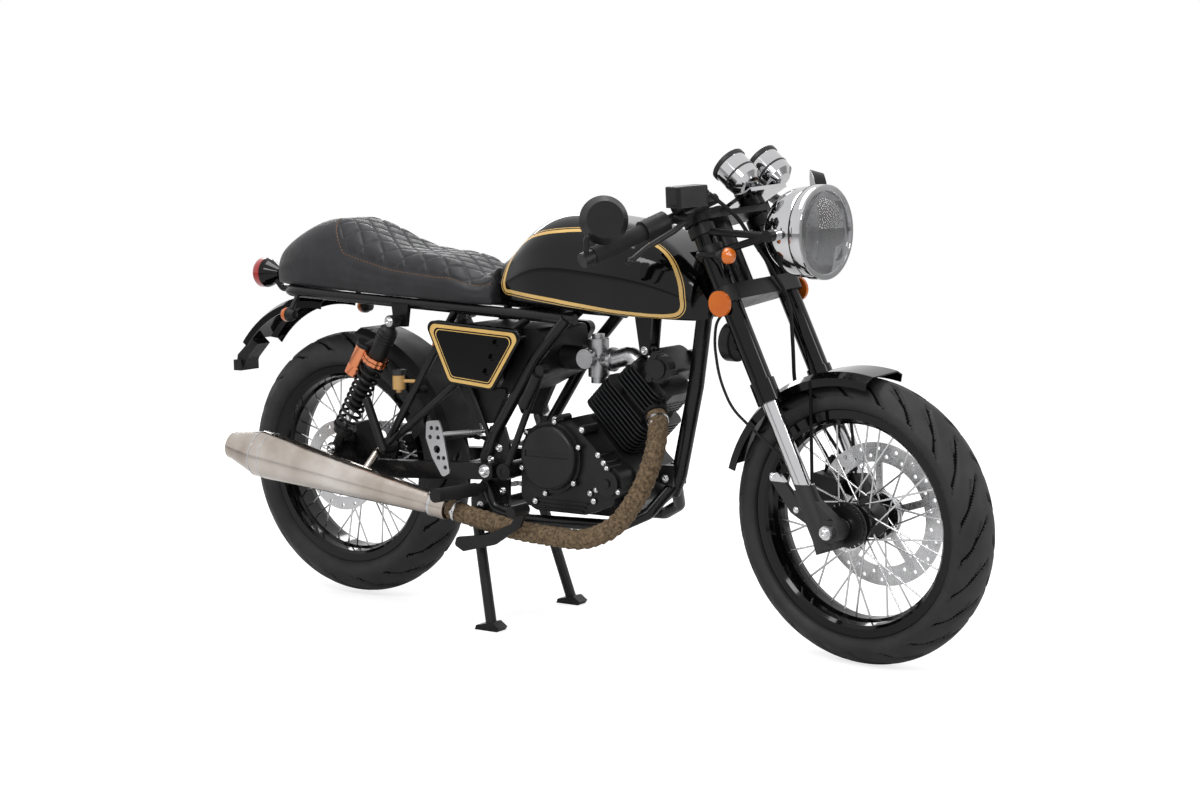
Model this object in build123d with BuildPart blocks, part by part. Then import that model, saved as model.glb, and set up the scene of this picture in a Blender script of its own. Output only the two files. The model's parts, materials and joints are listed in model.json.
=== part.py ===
"""Cafe racer motorcycle, full size, in millimetres.

The bike faces +X with its left side at +Y. Every sub-part is modelled with x measured from the rear axle and
z from the floor, with the steering straight ahead. When a part is written it moves back by origin_x, so that
the origin lies on the floor under the middle of the bike, and the parts of the steered front end turn to the
angle at which the bike is parked.
"""

from build123d import *

import math
import os

# Wheels and stance
wheelbase = 1320.0
rim_seat_radius = 216.0
rim_flange_height = 14.0
front_rim_width = 80.0
rear_rim_width = 96.0
front_tyre_height = 77.0
rear_tyre_height = 91.0
front_tyre_width = 110.0
rear_tyre_width = 130.0
rear_wheel_lift = 8.0
spoke_count = 36
spoke_radius = 1.9
spoke_lead = 55.0
axle_radius = 8.0
running_gap = 0.05
fit_gap = 0.15
seat_gap = 0.3
origin_x = 618.5

# Steering and fork
rake = 24.5
parked_steer = -7.0
fork_offset = 32.0
fork_half_spacing = 98.0
axle_lead = 31.0
fork_tube_radius = 22.0
fork_slider_radius = 17.0
fork_collar_radius = 26.0
fork_top_z = 948.0
fork_collar_z = 537.0
fork_foot_top_z = 372.0
lower_yoke_z = 733.0
upper_yoke_z = 886.0
lower_yoke_thickness = 34.0
upper_yoke_thickness = 22.0
yoke_boss_wall = 9.0
stem_radius = 14.0
head_tube_radius = 27.0

# Handlebars, set back from the front axle
bar_root = Vector(wheelbase - 280, -fork_half_spacing, 935)
bar_end = Vector(wheelbase - 358, -367, 852)
bar_radius = 11.0
grip_radius = 17.0
grip_length = 122.0
clip_on_z = 928.0
mirror_centre = Vector(wheelbase - 330, -362, 921)
mirror_radius = 48.0

# Headlight, instruments and front mudguard
headlight_x = wheelbase - 66
headlight_z = 868.0
headlight_radius = 94.0
headlight_depth = 128.0
headlight_wall = 10.0
gauge_centre_x = wheelbase - 236
gauge_centre_z = 986.0
gauge_radius = 37.0
gauge_half_spacing = 55.0
gauge_tilt = 50.0
signal_x = wheelbase - 198
signal_half_spacing = 156.0
signal_z = 834.0
front_fender_clearance = 14.0
front_fender_half_width = 64.0
front_fender_angle = 78.0
front_fender_arc = 84.0
fender_wall = 3.0
fender_skirt = 26.0

# Brakes and chain drive
hose_radius = 4.0
cable_radius = 3.0
front_disc_radius = 148.0
front_disc_y = 66.0
rear_disc_radius = 105.0
rear_disc_y = 68.0
disc_thickness = 4.5
caliper_half_depth = 24.0
caliper_cap_depth = 6.0
chain_pitch = 12.7
chain_y = 80.0
chain_half_width = 7.0
chain_half_height = 5.5
roller_radius = 4.0
rear_sprocket_radius = 81.0
front_sprocket_radius = 33.0
front_sprocket_x = 565.0
front_sprocket_z = 335.0
sprocket_thickness = 6.0

# Frame and rear end
frame_tube_radius = 13.0
tube_clearance = 4.0
frame_plate_thickness = 8.0
strut_radius = 9.0
cover_strut_x = 575.0
rail_radius = 12.0
rail_half_spacing = 98.0
arm_width = 26.0
arm_height = 42.0
arm_clearance = 7.0
swing_pivot_x = 466.0
swing_pivot_z = 345.0
swing_pivot_radius = 9.0
shock_half_spacing = 138.0
shock_top_x = 224.0
shock_top_z = 664.0
shock_bottom_x = 42.0
shock_bottom_z = 368.0
shock_pin_radius = 7.0
spring_radius = 27.0
spring_turns = 10
rear_guard_centre = Vector(-95, 0, 420)
rear_guard_radius = 284.0

# Engine
cylinder_base = Vector(745, 0, 440)
cylinder_tilt = 45.0
clutch_x = 646.0
clutch_z = 388.0
clutch_radius = 70.0
clutch_face_y = 150.0
crankcase_half_width = 92.0
cover_half_width = 126.0
fin_count = 9
fin_pitch = 9.5
fin_thickness = 3.0
fin_front_reach = 68.0
fin_back_reach = 86.0
fin_half_width = 70.0
head_height = 71.0
rocker_cover_height = 49.0
kick_shaft_x = 538.0
kick_shaft_z = 352.0
head_bolt_x = 813.0
head_bolt_z = 613.0

# Exhaust
header_radius = 21.0
muffler_radius = 53.0
muffler_joint = Vector(420, -199, 270)
muffler_tail = Vector(-182, -236, 371)

# Tank, seat and side covers
cap_x = 716.0
cap_radius = 31.0
cap_seat_z = 886.0
cover_thickness = 22.0

# Pegs
peg_x = 454.0
peg_z = 306.0
peg_radius = 15.0
peg_inner_y = 150.0
peg_outer_y = 286.0

# Centre stand
stand_pivot_x = 430.0
stand_pivot_z = 255.0
stand_foot_reach = 62.0
stand_foot_half_spacing = 152.0
stand_tube_radius = 12.0

# Worked out from the sizes above
front_tyre_radius = rim_seat_radius + front_tyre_height
rear_tyre_radius = rim_seat_radius + rear_tyre_height
rear_axle_z = rear_tyre_radius + rear_wheel_lift
front_axle = Vector(wheelbase, 0, front_tyre_radius)
rear_axle = Vector(0, 0, rear_axle_z)
rake_sin = math.sin(math.radians(rake))
rake_cos = math.cos(math.radians(rake))
steer_up = Vector(-rake_sin, 0, rake_cos)
steer_forward = Vector(rake_cos, 0, rake_sin)
leg_foot = front_axle - steer_forward * axle_lead
steer_foot = leg_foot - steer_forward * fork_offset
steering_axis = Axis(steer_foot, steer_up)
arm_half_spacing = rear_disc_y + caliper_half_depth + caliper_cap_depth + arm_clearance + arm_width / 2
rear_tube_half_spacing = chain_y + chain_half_width + tube_clearance + frame_tube_radius
cover_inner_y = rear_tube_half_spacing + frame_tube_radius + tube_clearance
cover_outer_y = cover_inner_y + cover_thickness
strut_foot_y = rail_half_spacing + 18
front_fender_radius = front_tyre_radius + front_fender_clearance
cylinder_up = Vector(math.sin(math.radians(cylinder_tilt)), 0, math.cos(math.radians(cylinder_tilt)))
cylinder_ahead = Vector(cylinder_up.Z, 0, -cylinder_up.X)
barrel_length = 8 + fin_pitch * fin_count

# Cross-sections of the tank: x, half width, low edge, high edge, shoulder radius
tank_sections = [
    (482, 84, 709, 800, 36),
    (560, 108, 706, 866, 66),
    (650, 125, 702, 900, 84),
    (694, 130, 700, 899, 84),
    (790, 142, 696, 886, 84),
    (900, 128, 690, 846, 66),
    (974, 92, 686, 778, 30),
]
# Cross-sections of the seat: x, half width, high edge, shoulder radius
seat_sections = [
    (-206, 36, 768, 12),
    (-176, 74, 816, 36),
    (-100, 102, 862, 64),
    (5, 112, 887, 70),
    (100, 117, 858, 60),
    (193, 120, 822, 44),
    (330, 120, 801, 36),
    (472, 108, 797, 34),
]
# Air scoops of a side cover: x and z of their centres
cover_scoops = [(528, 628), (516, 596), (500, 564)]
# Round bosses on the right engine cover: x, z, radius, how far each stands out
cover_bosses = [
    (656, 470, 8, 5),
    (726, 452, 9, 6),
    (765, 401, 7, 4),
    (779, 385, 7, 4),
    (743, 318, 7, 4),
    (752, 302, 7, 4),
    (600, 290, 8, 4),
]
# Front brake hose and wheel sensor cable, steering straight ahead: x behind the front axle, y, z
hose_route = [
    (261.6, -120.7, 953.4),
    (232, -72, 905),
    (224, -40, 860),
    (216, 0, 810),
    (211, 26, 772),
    (198, 38, 742),
    (190, 44, 700),
    (190, 48, 620),
    (206, 70, 546),
    (188, 78, 470),
    (152, 78, 420),
    (130.8, 76, 393.8),
    (136, 76, 369.4),
]
cable_route = [
    (261.3, -78, 714.5),
    (290, -76, 690),
    (298, -75, 644),
    (289, -75, 574),
    (260, -75, 513),
    (213, -75, 477),
    (144, -75, 428),
    (96, -74, 383),
    (80, -71, 357),
    (64, -72.3, 345),
]


def on_leg(z, y=0.0):
    """The point at height z on the line of a fork leg."""
    rise = (z - leg_foot.Z) / rake_cos
    return leg_foot + steer_up * rise + Vector(0, y, 0)


def on_steering_axis(z):
    """The point at height z on the steering axis."""
    rise = (z - steer_foot.Z) / rake_cos
    return steer_foot + steer_up * rise


def keep(part, name, steered=False):
    """Writes one sub-part in the row frame, turned with the front end where it is steered."""
    placed = part.rotate(steering_axis, parked_steer) if steered else part
    placed = placed.moved(Location((-origin_x, 0, 0)))
    placed.label = name
    export_step(placed, f"parts/{name}.step")


def rod(start, end, radius, bore=0.0):
    """A straight round bar, or a tube where it has a bore."""
    start, end = Vector(start), Vector(end)
    with BuildPart() as bar:
        with BuildSketch(Plane(origin=start, z_dir=end - start)):
            Circle(radius)
            if bore:
                Circle(bore, mode=Mode.SUBTRACT)
        extrude(amount=(end - start).length)
    return bar.part


def pipe(points, radius, bend):
    """A round bar along straight runs joined by arcs."""
    with BuildPart() as bar:
        with BuildLine() as path:
            FilletPolyline(*points, radius=bend)
        with BuildSketch(Plane(origin=path.line @ 0, z_dir=path.line % 0)):
            Circle(radius)
        sweep()
    return bar.part


def smooth_radii(points):
    """For each corner of a route the largest arc radius that its two runs leave room for."""
    route = [Vector(p) for p in points]
    radii = []
    for before, corner, after in zip(route, route[1:], route[2:]):
        run_in, run_out = corner - before, after - corner
        half_turn = math.radians(run_in.get_angle(run_out)) / 2
        radii.append(0.45 * min(run_in.length, run_out.length) / math.tan(half_turn))
    return radii


def turned(profile, plane):
    """A body turned about the plane's local Y axis from a closed outline of (radius, height) points."""
    with BuildPart() as body:
        with BuildSketch(plane):
            with BuildLine():
                Polyline(*profile, close=True)
            make_face()
        revolve(axis=Axis(plane.origin, plane.y_dir))
    return body.part


def both_sides(part):
    """The part and its mirror image on the other side of the bike."""
    return Compound(children=[part, part.mirror(Plane.XZ)])


def slab(points, y_low, y_high, corner=0.0):
    """A flat plate in the bike's side view, from y_low to y_high."""
    with BuildPart() as plate:
        with BuildSketch(Plane.XZ.offset(-y_high)):
            with BuildLine():
                if corner:
                    FilletPolyline(*points, radius=corner, close=True)
                else:
                    Polyline(*points, close=True)
            make_face()
        extrude(amount=y_high - y_low)
    return plate.part


def wheel_plane(centre):
    """Local X is the radius and local Y the wheel's axis."""
    return Plane(origin=centre, x_dir=(1, 0, 0), z_dir=(0, 0, 1))


def make_tyre(centre, radius, width, rim_width):
    """Crowned tread and bulging side walls on the rim's seat."""
    crown_drop = 0.27 * width
    half = width / 2
    shoulder = radius - crown_drop
    bead_radius = rim_seat_radius + seat_gap
    bead_y = rim_width / 2 - 5 - seat_gap
    lip_radius = rim_seat_radius + rim_flange_height + 1.5
    lip_y = rim_width / 2 - 4 - seat_gap
    bulge_radius = (lip_radius + shoulder) / 2
    with BuildPart() as tyre:
        with BuildSketch(wheel_plane(centre)):
            with BuildLine():
                ThreePointArc((shoulder, -half + 5), (radius, 0), (shoulder, half - 5))
                ThreePointArc((shoulder, half - 5), (bulge_radius, half), (lip_radius, lip_y))
                Polyline(
                    (lip_radius, lip_y),
                    (bead_radius, bead_y),
                    (bead_radius, -bead_y),
                    (lip_radius, -lip_y),
                )
                ThreePointArc((lip_radius, -lip_y), (bulge_radius, -half), (shoulder, -half + 5))
            make_face()
        revolve(axis=Axis(centre, (0, 1, 0)))
    return tyre.part


def make_rim(centre, width):
    """A rolled rim with two flanges, a bead seat and a spoke well."""
    flange = rim_seat_radius + rim_flange_height
    half = width / 2
    seat = rim_seat_radius
    outer = [
        (flange, half),
        (flange, half - 4),
        (seat, half - 5),
        (seat - 4, half - 22),
        (seat - 11, half - 27),
    ]
    inner = [
        (seat - 18, half - 28),
        (seat - 12, half - 20),
        (seat - 9, half - 6),
        (seat - 3, half),
    ]
    profile = outer + [(r, -y) for r, y in reversed(outer)] + [(r, -y) for r, y in reversed(inner)] + inner
    return turned(profile, wheel_plane(centre))


def make_spokes(
    centre,
    flange_radius,
    flange_y,
    hub_radius,
    hub_half,
    rim_inner,
    disc_y,
    disc_bolt_radius,
    tone_ring_y=0.0,
):
    """The hub with its two spoke flanges and all spokes laced from it to the rim."""
    hub = turned(
        [
            (axle_radius + running_gap, -hub_half),
            (hub_radius, -hub_half),
            (hub_radius, -flange_y - 3),
            (flange_radius + 5, -flange_y - 3),
            (flange_radius + 5, -flange_y + 3),
            (hub_radius * 0.8, -flange_y + 14),
            (hub_radius * 0.8, flange_y - 14),
            (flange_radius + 5, flange_y - 3),
            (flange_radius + 5, flange_y + 3),
            (hub_radius, flange_y + 3),
            (hub_radius, hub_half),
            (axle_radius + running_gap, hub_half),
        ],
        wheel_plane(centre),
    )
    laced = []
    per_side = spoke_count // 2
    for side in (1, -1):
        for k in range(per_side):
            start_angle = math.radians(360.0 / per_side * k)
            lead = spoke_lead * side * (1 if k % 2 == 0 else -1)
            end_angle = start_angle + math.radians(lead)
            start = centre + Vector(
                flange_radius * math.cos(start_angle), side * flange_y, flange_radius * math.sin(start_angle)
            )
            end = centre + Vector(rim_inner * math.cos(end_angle), side * 5, rim_inner * math.sin(end_angle))
            laced.append(rod(start, end, spoke_radius))
    side = 1 if disc_y > 0 else -1
    disc_face = abs(disc_y) - disc_thickness / 2 - seat_gap
    disc_flange = rod(
        centre + Vector(0, side * (disc_face - 8), 0),
        centre + Vector(0, side * disc_face, 0),
        disc_bolt_radius + 4,
        axle_radius + running_gap,
    )
    with BuildPart() as wheel:
        add(hub)
        add(disc_flange)
        add(laced)
        if tone_ring_y:
            with BuildSketch(Plane(origin=centre + Vector(0, tone_ring_y, 0), z_dir=(0, 1, 0))):
                Circle(flange_radius + 14)
                Circle(axle_radius + running_gap, mode=Mode.SUBTRACT)
                with PolarLocations(flange_radius + 8.5, 24):
                    Rectangle(5, 4, mode=Mode.SUBTRACT)
            extrude(amount=3)
    return wheel.part


def make_disc(centre, y, radius, inner_radius, bolt_radius, hole_rows):
    """A brake disc: a drilled ring on an open carrier."""
    with BuildPart() as disc:
        with BuildSketch(Plane(origin=centre + Vector(0, y, 0), z_dir=(0, 1, 0))):
            Circle(radius)
            Circle(inner_radius, mode=Mode.SUBTRACT)
            for hole_radius, count, shift in hole_rows:
                with PolarLocations(hole_radius, count, start_angle=shift):
                    Circle(4.2, mode=Mode.SUBTRACT)
            with PolarLocations((inner_radius + bolt_radius) / 2, 5):
                Rectangle(inner_radius - bolt_radius + 16, 15)
            Circle(bolt_radius + 6)
            Circle(bolt_radius - 12, mode=Mode.SUBTRACT)
        extrude(amount=disc_thickness / 2, both=True)
    return disc.part


def toothed_outline(pitch_radius):
    """The outline of a sprocket whose teeth end just under the rollers of its chain."""
    tip = pitch_radius - roller_radius - 0.5
    root = tip - 5
    count = round(2 * math.pi * pitch_radius / chain_pitch)
    outline = []
    for k in range(count):
        for radius, share in ((root, 0.05), (tip, 0.35), (tip, 0.65), (root, 0.95)):
            angle = 2 * math.pi * (k + share) / count
            outline.append((radius * math.cos(angle), radius * math.sin(angle)))
    return outline


def build_wheels():
    """Both wheels: tyres, rims, hubs with spokes, discs and the rear sprocket."""
    rim_inner = rim_seat_radius - 18 - seat_gap
    keep(make_tyre(front_axle, front_tyre_radius, front_tyre_width, front_rim_width), "front_tyre", True)
    keep(make_rim(front_axle, front_rim_width), "front_rim", True)
    front_hub = make_spokes(front_axle, 36, 30, 26, 62, rim_inner, front_disc_y, 45, -62)
    keep(front_hub, "front_hub_and_spokes", True)
    front_rows = [(front_disc_radius - 12, 20, 0), (front_disc_radius - 27, 20, 9)]
    keep(
        make_disc(front_axle, front_disc_y, front_disc_radius, front_disc_radius - 40, 45, front_rows),
        "front_brake_disc",
        True,
    )
    keep(make_tyre(rear_axle, rear_tyre_radius, rear_tyre_width, rear_rim_width), "rear_tyre")
    keep(make_rim(rear_axle, rear_rim_width), "rear_rim")
    keep(make_spokes(rear_axle, 44, 32, 34, 64, rim_inner, -rear_disc_y, 48), "rear_hub_and_spokes")
    rear_rows = [(rear_disc_radius - 11, 16, 0)]
    rear_disc = make_disc(rear_axle, -rear_disc_y, rear_disc_radius, rear_disc_radius - 30, 48, rear_rows)
    keep(rear_disc, "rear_brake_disc")
    with BuildPart() as sprocket:
        with BuildSketch(Plane(origin=rear_axle + Vector(0, chain_y, 0), z_dir=(0, 1, 0))):
            with BuildLine():
                Polyline(*toothed_outline(rear_sprocket_radius), close=True)
            make_face()
            with PolarLocations(rear_sprocket_radius * 0.62, 5):
                Circle(13, mode=Mode.SUBTRACT)
            Circle(axle_radius + 12, mode=Mode.SUBTRACT)
        extrude(amount=sprocket_thickness / 2, both=True)
    carrier = rod(rear_axle + Vector(0, 64, 0), rear_axle + Vector(0, chain_y - 3, 0), 34, axle_radius + 12)
    with BuildPart() as driven:
        add(sprocket.part)
        add(carrier)
    keep(driven.part, "rear_sprocket")


def build_fork():
    """The upside-down fork, its yokes, stem and axle."""
    y = fork_half_spacing
    tube = rod(on_leg(fork_collar_z, -y), on_leg(fork_top_z, -y), fork_tube_radius)
    collar = rod(on_leg(fork_collar_z, -y), on_leg(fork_collar_z + 42, -y), fork_collar_radius)
    cap = rod(on_leg(fork_top_z, -y), on_leg(fork_top_z + 6, -y), fork_tube_radius - 5)
    with BuildPart() as leg:
        add(tube)
        add(collar)
        add(cap)
    keep(both_sides(leg.part), "fork_tubes", True)

    slider = rod(on_leg(fork_foot_top_z - 20, -y), on_leg(fork_collar_z - seat_gap, -y), fork_slider_radius)
    foot = rod(on_leg(front_axle.Z - 40, -y), on_leg(fork_foot_top_z, -y), fork_slider_radius + 6)
    boss_axis = Vector(front_axle.X, 0, front_axle.Z)
    boss = rod(boss_axis + Vector(0, -y - 20, 0), boss_axis + Vector(0, -y + 18, 0), 23)
    web = slab(
        [
            (front_axle.X - 36, front_axle.Z - 52),
            (front_axle.X + 14, front_axle.Z - 34),
            (front_axle.X + 10, front_axle.Z + 20),
            (on_leg(front_axle.Z + 70).X + 12, front_axle.Z + 70),
            (on_leg(front_axle.Z + 70).X - 8, front_axle.Z + 70),
            (front_axle.X - 52, front_axle.Z + 4),
        ],
        -y - 13,
        -y + 13,
    )
    lugs = slab(
        [
            (front_axle.X - 152, front_axle.Z + 96),
            (front_axle.X - 128, front_axle.Z + 106),
            (front_axle.X - 76, front_axle.Z + 48),
            (front_axle.X - 44, front_axle.Z + 30),
            (front_axle.X - 56, front_axle.Z + 4),
            (front_axle.X - 98, front_axle.Z + 26),
        ],
        -y - 8,
        -(front_disc_y + caliper_half_depth + caliper_cap_depth + seat_gap),
        8,
    )
    with BuildPart() as lower:
        add([foot, boss, web, lugs, slider])
        with Locations(Location(front_axle, (90, 0, 0))):
            Cylinder(axle_radius + fit_gap, 4 * y, mode=Mode.SUBTRACT)
    keep(both_sides(lower.part), "fork_sliders", True)

    shaft = rod(front_axle + Vector(0, -y - 32, 0), front_axle + Vector(0, y + 28, 0), axle_radius)
    spacers = [
        rod(front_axle + Vector(0, side * 66, 0), front_axle + Vector(0, side * (y - 18 - seat_gap), 0), 15)
        for side in (1, -1)
    ]
    nut = rod(front_axle + Vector(0, -y - 31, 0), front_axle + Vector(0, -y - 20 - seat_gap, 0), 14)
    head = rod(front_axle + Vector(0, y + 20 + seat_gap, 0), front_axle + Vector(0, y + 29, 0), 14)
    with BuildPart() as axle:
        add(shaft)
        add(spacers)
        add(nut)
        add(head)
    keep(axle.part, "front_axle", True)

    stem = rod(on_steering_axis(lower_yoke_z - 12), on_steering_axis(upper_yoke_z + 20), stem_radius)
    yokes = [make_yoke(lower_yoke_z, lower_yoke_thickness), make_yoke(upper_yoke_z, upper_yoke_thickness)]
    stem_nut = rod(on_steering_axis(upper_yoke_z + 6), on_steering_axis(upper_yoke_z + 24), stem_radius + 6)
    with BuildPart() as yoke_set:
        add(yokes)
        add(stem)
        add(stem_nut)
    keep(yoke_set.part, "fork_yokes", True)


def make_yoke(z, thickness):
    """A yoke plate round the stem and the two fork tubes."""
    with BuildPart() as yoke:
        plane = Plane(origin=on_steering_axis(z), x_dir=steer_forward, z_dir=steer_up)
        with BuildSketch(plane):
            Circle(30)
            with Locations((fork_offset, fork_half_spacing), (fork_offset, -fork_half_spacing)):
                Circle(fork_tube_radius + yoke_boss_wall)
            make_hull()
            with Locations((fork_offset, fork_half_spacing), (fork_offset, -fork_half_spacing)):
                Circle(fork_tube_radius + fit_gap, mode=Mode.SUBTRACT)
        extrude(amount=thickness / 2, both=True)
    return yoke.part


def build_handlebars():
    """Clip-on bars with grips, switches, levers, master cylinder and bar-end mirrors."""
    along = (bar_end - bar_root).normalized()
    length = (bar_end - bar_root).length
    y = -fork_half_spacing
    clamp = rod(on_leg(clip_on_z - 16, y), on_leg(clip_on_z + 16, y), fork_tube_radius + 8)
    lug = rod(on_leg(clip_on_z, y), bar_root, 10)
    bar = rod(bar_root - along * 18, bar_end, bar_radius)
    hole = rod(on_leg(clip_on_z - 60, y), on_leg(clip_on_z + 60, y), fork_tube_radius + fit_gap)
    with BuildPart() as clip_on:
        add(clamp)
        add(lug)
        add(bar)
        add(hole, mode=Mode.SUBTRACT)
    keep(both_sides(clip_on.part), "handlebars", True)

    grip_start = bar_root + along * (length - grip_length)
    grip_stop = bar_end + along * 2
    grip = rod(grip_start, grip_stop, grip_radius, bar_radius + fit_gap)
    switch = rod(grip_start - along * 56, grip_start - along * seat_gap, 23, bar_radius + fit_gap)
    weight = rod(grip_stop + along * seat_gap, grip_stop + along * 26, 15)
    keep(both_sides(grip), "hand_grips", True)
    keep(both_sides(switch), "switch_housings", True)

    facing = Vector(0.72, -0.66, 0.12).normalized()
    arm_foot = grip_stop + along * 16
    arm = pipe([arm_foot, arm_foot + Vector(6, -4, 40), mirror_centre - facing * 6], 5.5, 14)
    with BuildPart() as housing:
        with BuildSketch(Plane(origin=mirror_centre - facing * 14, z_dir=facing)):
            Circle(mirror_radius)
        with BuildSketch(Plane(origin=mirror_centre + facing * 12, z_dir=facing)):
            Circle(mirror_radius * 0.75)
        loft()
    with BuildPart() as mirror_set:
        add(housing.part)
        add(arm)
        add(weight)
    keep(both_sides(mirror_set.part), "bar_end_mirrors", True)

    lever_pivot = bar_root + along * 92 + Vector(34, 0, -4)
    perch = rod(bar_root + along * 92 + Vector(8, 0, 0), lever_pivot + Vector(6, 0, 0), 12)
    lever_path = [
        lever_pivot,
        lever_pivot + along * 45 + Vector(12, 0, -4),
        lever_pivot + along * 120 + Vector(16, 0, -10),
        lever_pivot + along * 175 + Vector(30, 0, -16),
    ]
    blade = pipe(lever_path, 6, 30)
    with BuildPart() as lever:
        add(perch)
        add(blade)
        with Locations(lever_path[-1]):
            Sphere(9)
        add(rod(bar_root, bar_end, bar_radius + fit_gap), mode=Mode.SUBTRACT)
    keep(both_sides(lever.part), "hand_levers", True)

    tank_place = bar_root + along * 74 + Vector(18, 0, 36)
    with BuildPart() as master:
        across = along.cross(Vector(0, 0, 1))
        with BuildSketch(Plane(origin=tank_place - Vector(0, 0, 20), x_dir=across, z_dir=(0, 0, 1))):
            RectangleRounded(48, 76, 8)
        extrude(amount=42)
        fillet(master.edges().group_by(Axis.Z)[-1], 3)
    bore = rod(tank_place + along * 40 + Vector(6, 0, -10), tank_place - along * 46 + Vector(6, 0, -10), 11)
    clamp = rod(bar_root + along * 50, bar_root + along * 76, bar_radius + 6)
    with BuildPart() as cylinder:
        add(master.part)
        add(bore)
        add(clamp)
        add(rod(bar_root, bar_end, bar_radius + fit_gap), mode=Mode.SUBTRACT)
    keep(cylinder.part, "brake_master_cylinder", True)


def build_front_fittings():
    """Headlight, its brackets, instruments, signals, fender and caliper."""
    centre = Vector(headlight_x, 0, headlight_z)
    boss_y = -headlight_radius - 6
    with BuildPart() as bowl:
        with BuildSketch(Plane(origin=centre, x_dir=(0, 0, 1), z_dir=(0, 1, 0))):
            with BuildLine():
                Line((headlight_radius, 0), (headlight_radius, -22))
                Line((headlight_radius, -22), (headlight_radius - 5, -26))
                ThreePointArc(
                    (headlight_radius - 5, -26),
                    (headlight_radius * 0.8, -headlight_depth * 0.72),
                    (20, -headlight_depth),
                )
                Line((20, -headlight_depth), (0, -headlight_depth))
                Line((0, -headlight_depth), (0, -headlight_depth + 4))
                Line((0, -headlight_depth + 4), (18, -headlight_depth + 4))
                ThreePointArc(
                    (18, -headlight_depth + 4),
                    (headlight_radius * 0.8 - 4, -headlight_depth * 0.70),
                    (headlight_radius - headlight_wall, -26),
                )
                Line((headlight_radius - headlight_wall, -26), (headlight_radius - headlight_wall, 0))
                Line((headlight_radius - headlight_wall, 0), (headlight_radius, 0))
            make_face()
        revolve(axis=Axis(centre, (1, 0, 0)))
        for side in (1, -1):
            boss = Vector(headlight_x - 60, side * (headlight_radius - headlight_wall), headlight_z + 2)
            add(rod(boss, (boss.X, side * -boss_y, boss.Z), 12))
    keep(bowl.part, "headlight_shell", True)
    lens_radius = headlight_radius - headlight_wall - seat_gap
    lens_bulge = 11.0
    lens_curve = (lens_radius**2 + lens_bulge**2) / (2 * lens_bulge)
    with BuildPart() as lens:
        with BuildSketch(Plane(origin=centre, x_dir=(0, 0, 1), z_dir=(0, 1, 0))):
            with BuildLine():
                Line((0, 4), (0, 8))
                RadiusArc((0, 8), (lens_radius, -3), lens_curve)
                Line((lens_radius, -3), (lens_radius, -7))
                RadiusArc((lens_radius, -7), (0, 4), -lens_curve)
            make_face()
        revolve(axis=Axis(centre, (1, 0, 0)))
    keep(lens.part, "headlight_lens", True)

    pivot = Vector(headlight_x - 60, -headlight_radius - 17, headlight_z + 2)
    arms = []
    for z in (headlight_z + 7, headlight_z - 34):
        clamp_at = on_leg(z, -fork_half_spacing)
        ring = rod(
            on_leg(z - 9, -fork_half_spacing), on_leg(z + 9, -fork_half_spacing), fork_tube_radius + 6
        )
        start = clamp_at + Vector(fork_tube_radius, -4, 0)
        arms += [ring, rod(start, pivot, 7.5)]
    with BuildPart() as bracket:
        add(arms)
        add(rod(pivot + Vector(0, -8, 0), (pivot.X, boss_y - seat_gap, pivot.Z), 12))
        y = -fork_half_spacing
        fork_hole = rod(on_leg(lower_yoke_z, y), on_leg(fork_top_z, y), fork_tube_radius + fit_gap)
        add(fork_hole, mode=Mode.SUBTRACT)
    keep(both_sides(bracket.part), "headlight_brackets", True)

    tilt = math.radians(gauge_tilt)
    face_dir = Vector(-math.sin(tilt), 0, math.cos(tilt))
    gauge_centre = Vector(gauge_centre_x, -gauge_half_spacing, gauge_centre_z)
    can = turned(
        [
            (0, -34),
            (22, -34),
            (34, -24),
            (gauge_radius - 1, -8),
            (gauge_radius - 1, 24),
            (gauge_radius + 1, 26),
            (gauge_radius + 1, 34),
            (0, 34),
        ],
        Plane(origin=gauge_centre, x_dir=(0, 1, 0), z_dir=Vector(0, 1, 0).cross(face_dir)),
    )
    yoke_centre = on_steering_axis(upper_yoke_z)
    yoke_front = fork_offset + fork_tube_radius + yoke_boss_wall + seat_gap
    stay_corners = [
        yoke_centre + steer_forward * reach + steer_up * lift
        for reach, lift in ((yoke_front, -4), (yoke_front, 4), (yoke_front + 90, 12), (yoke_front + 90, 4))
    ]
    stay = slab([(p.X, p.Z) for p in stay_corners], -gauge_half_spacing - 5, gauge_half_spacing + 5)
    with BuildPart() as gauges:
        add(can)
        add(can.mirror(Plane.XZ))
        add(stay)
    keep(gauges.part, "instruments", True)

    signals = []
    for side in (1, -1):
        bulb_centre = Vector(signal_x, side * signal_half_spacing, signal_z)
        bulb = turned(
            [(0, -20), (10, -18), (16, -4), (16, 8), (13, 14), (0, 18)],
            Plane(origin=bulb_centre, x_dir=(0, 0, 1), z_dir=(0, 1, 0)),
        )
        ring_side = on_leg(signal_z, side * (fork_half_spacing + fork_tube_radius + 6 + seat_gap))
        stem = pipe([ring_side, ring_side + Vector(8, side * 22, 0), bulb_centre], 5.5, 10)
        with BuildPart() as signal:
            add(bulb)
            add(stem)
            clamp_low = on_leg(signal_z - 19, side * fork_half_spacing)
            clamp_high = on_leg(signal_z + 21, side * fork_half_spacing)
            add(rod(clamp_low, clamp_high, fork_tube_radius + 6 + seat_gap), mode=Mode.SUBTRACT)
        signals.append(signal.part)
    keep(Compound(children=signals), "front_signals", True)

    yoke_side = fork_half_spacing + fork_tube_radius + yoke_boss_wall + seat_gap
    reflectors = [
        rod(on_leg(lower_yoke_z + 2, side * yoke_side), on_leg(lower_yoke_z + 2, side * (yoke_side + 7)), 26)
        for side in (1, -1)
    ]
    keep(Compound(children=reflectors), "front_reflectors", True)

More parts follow.
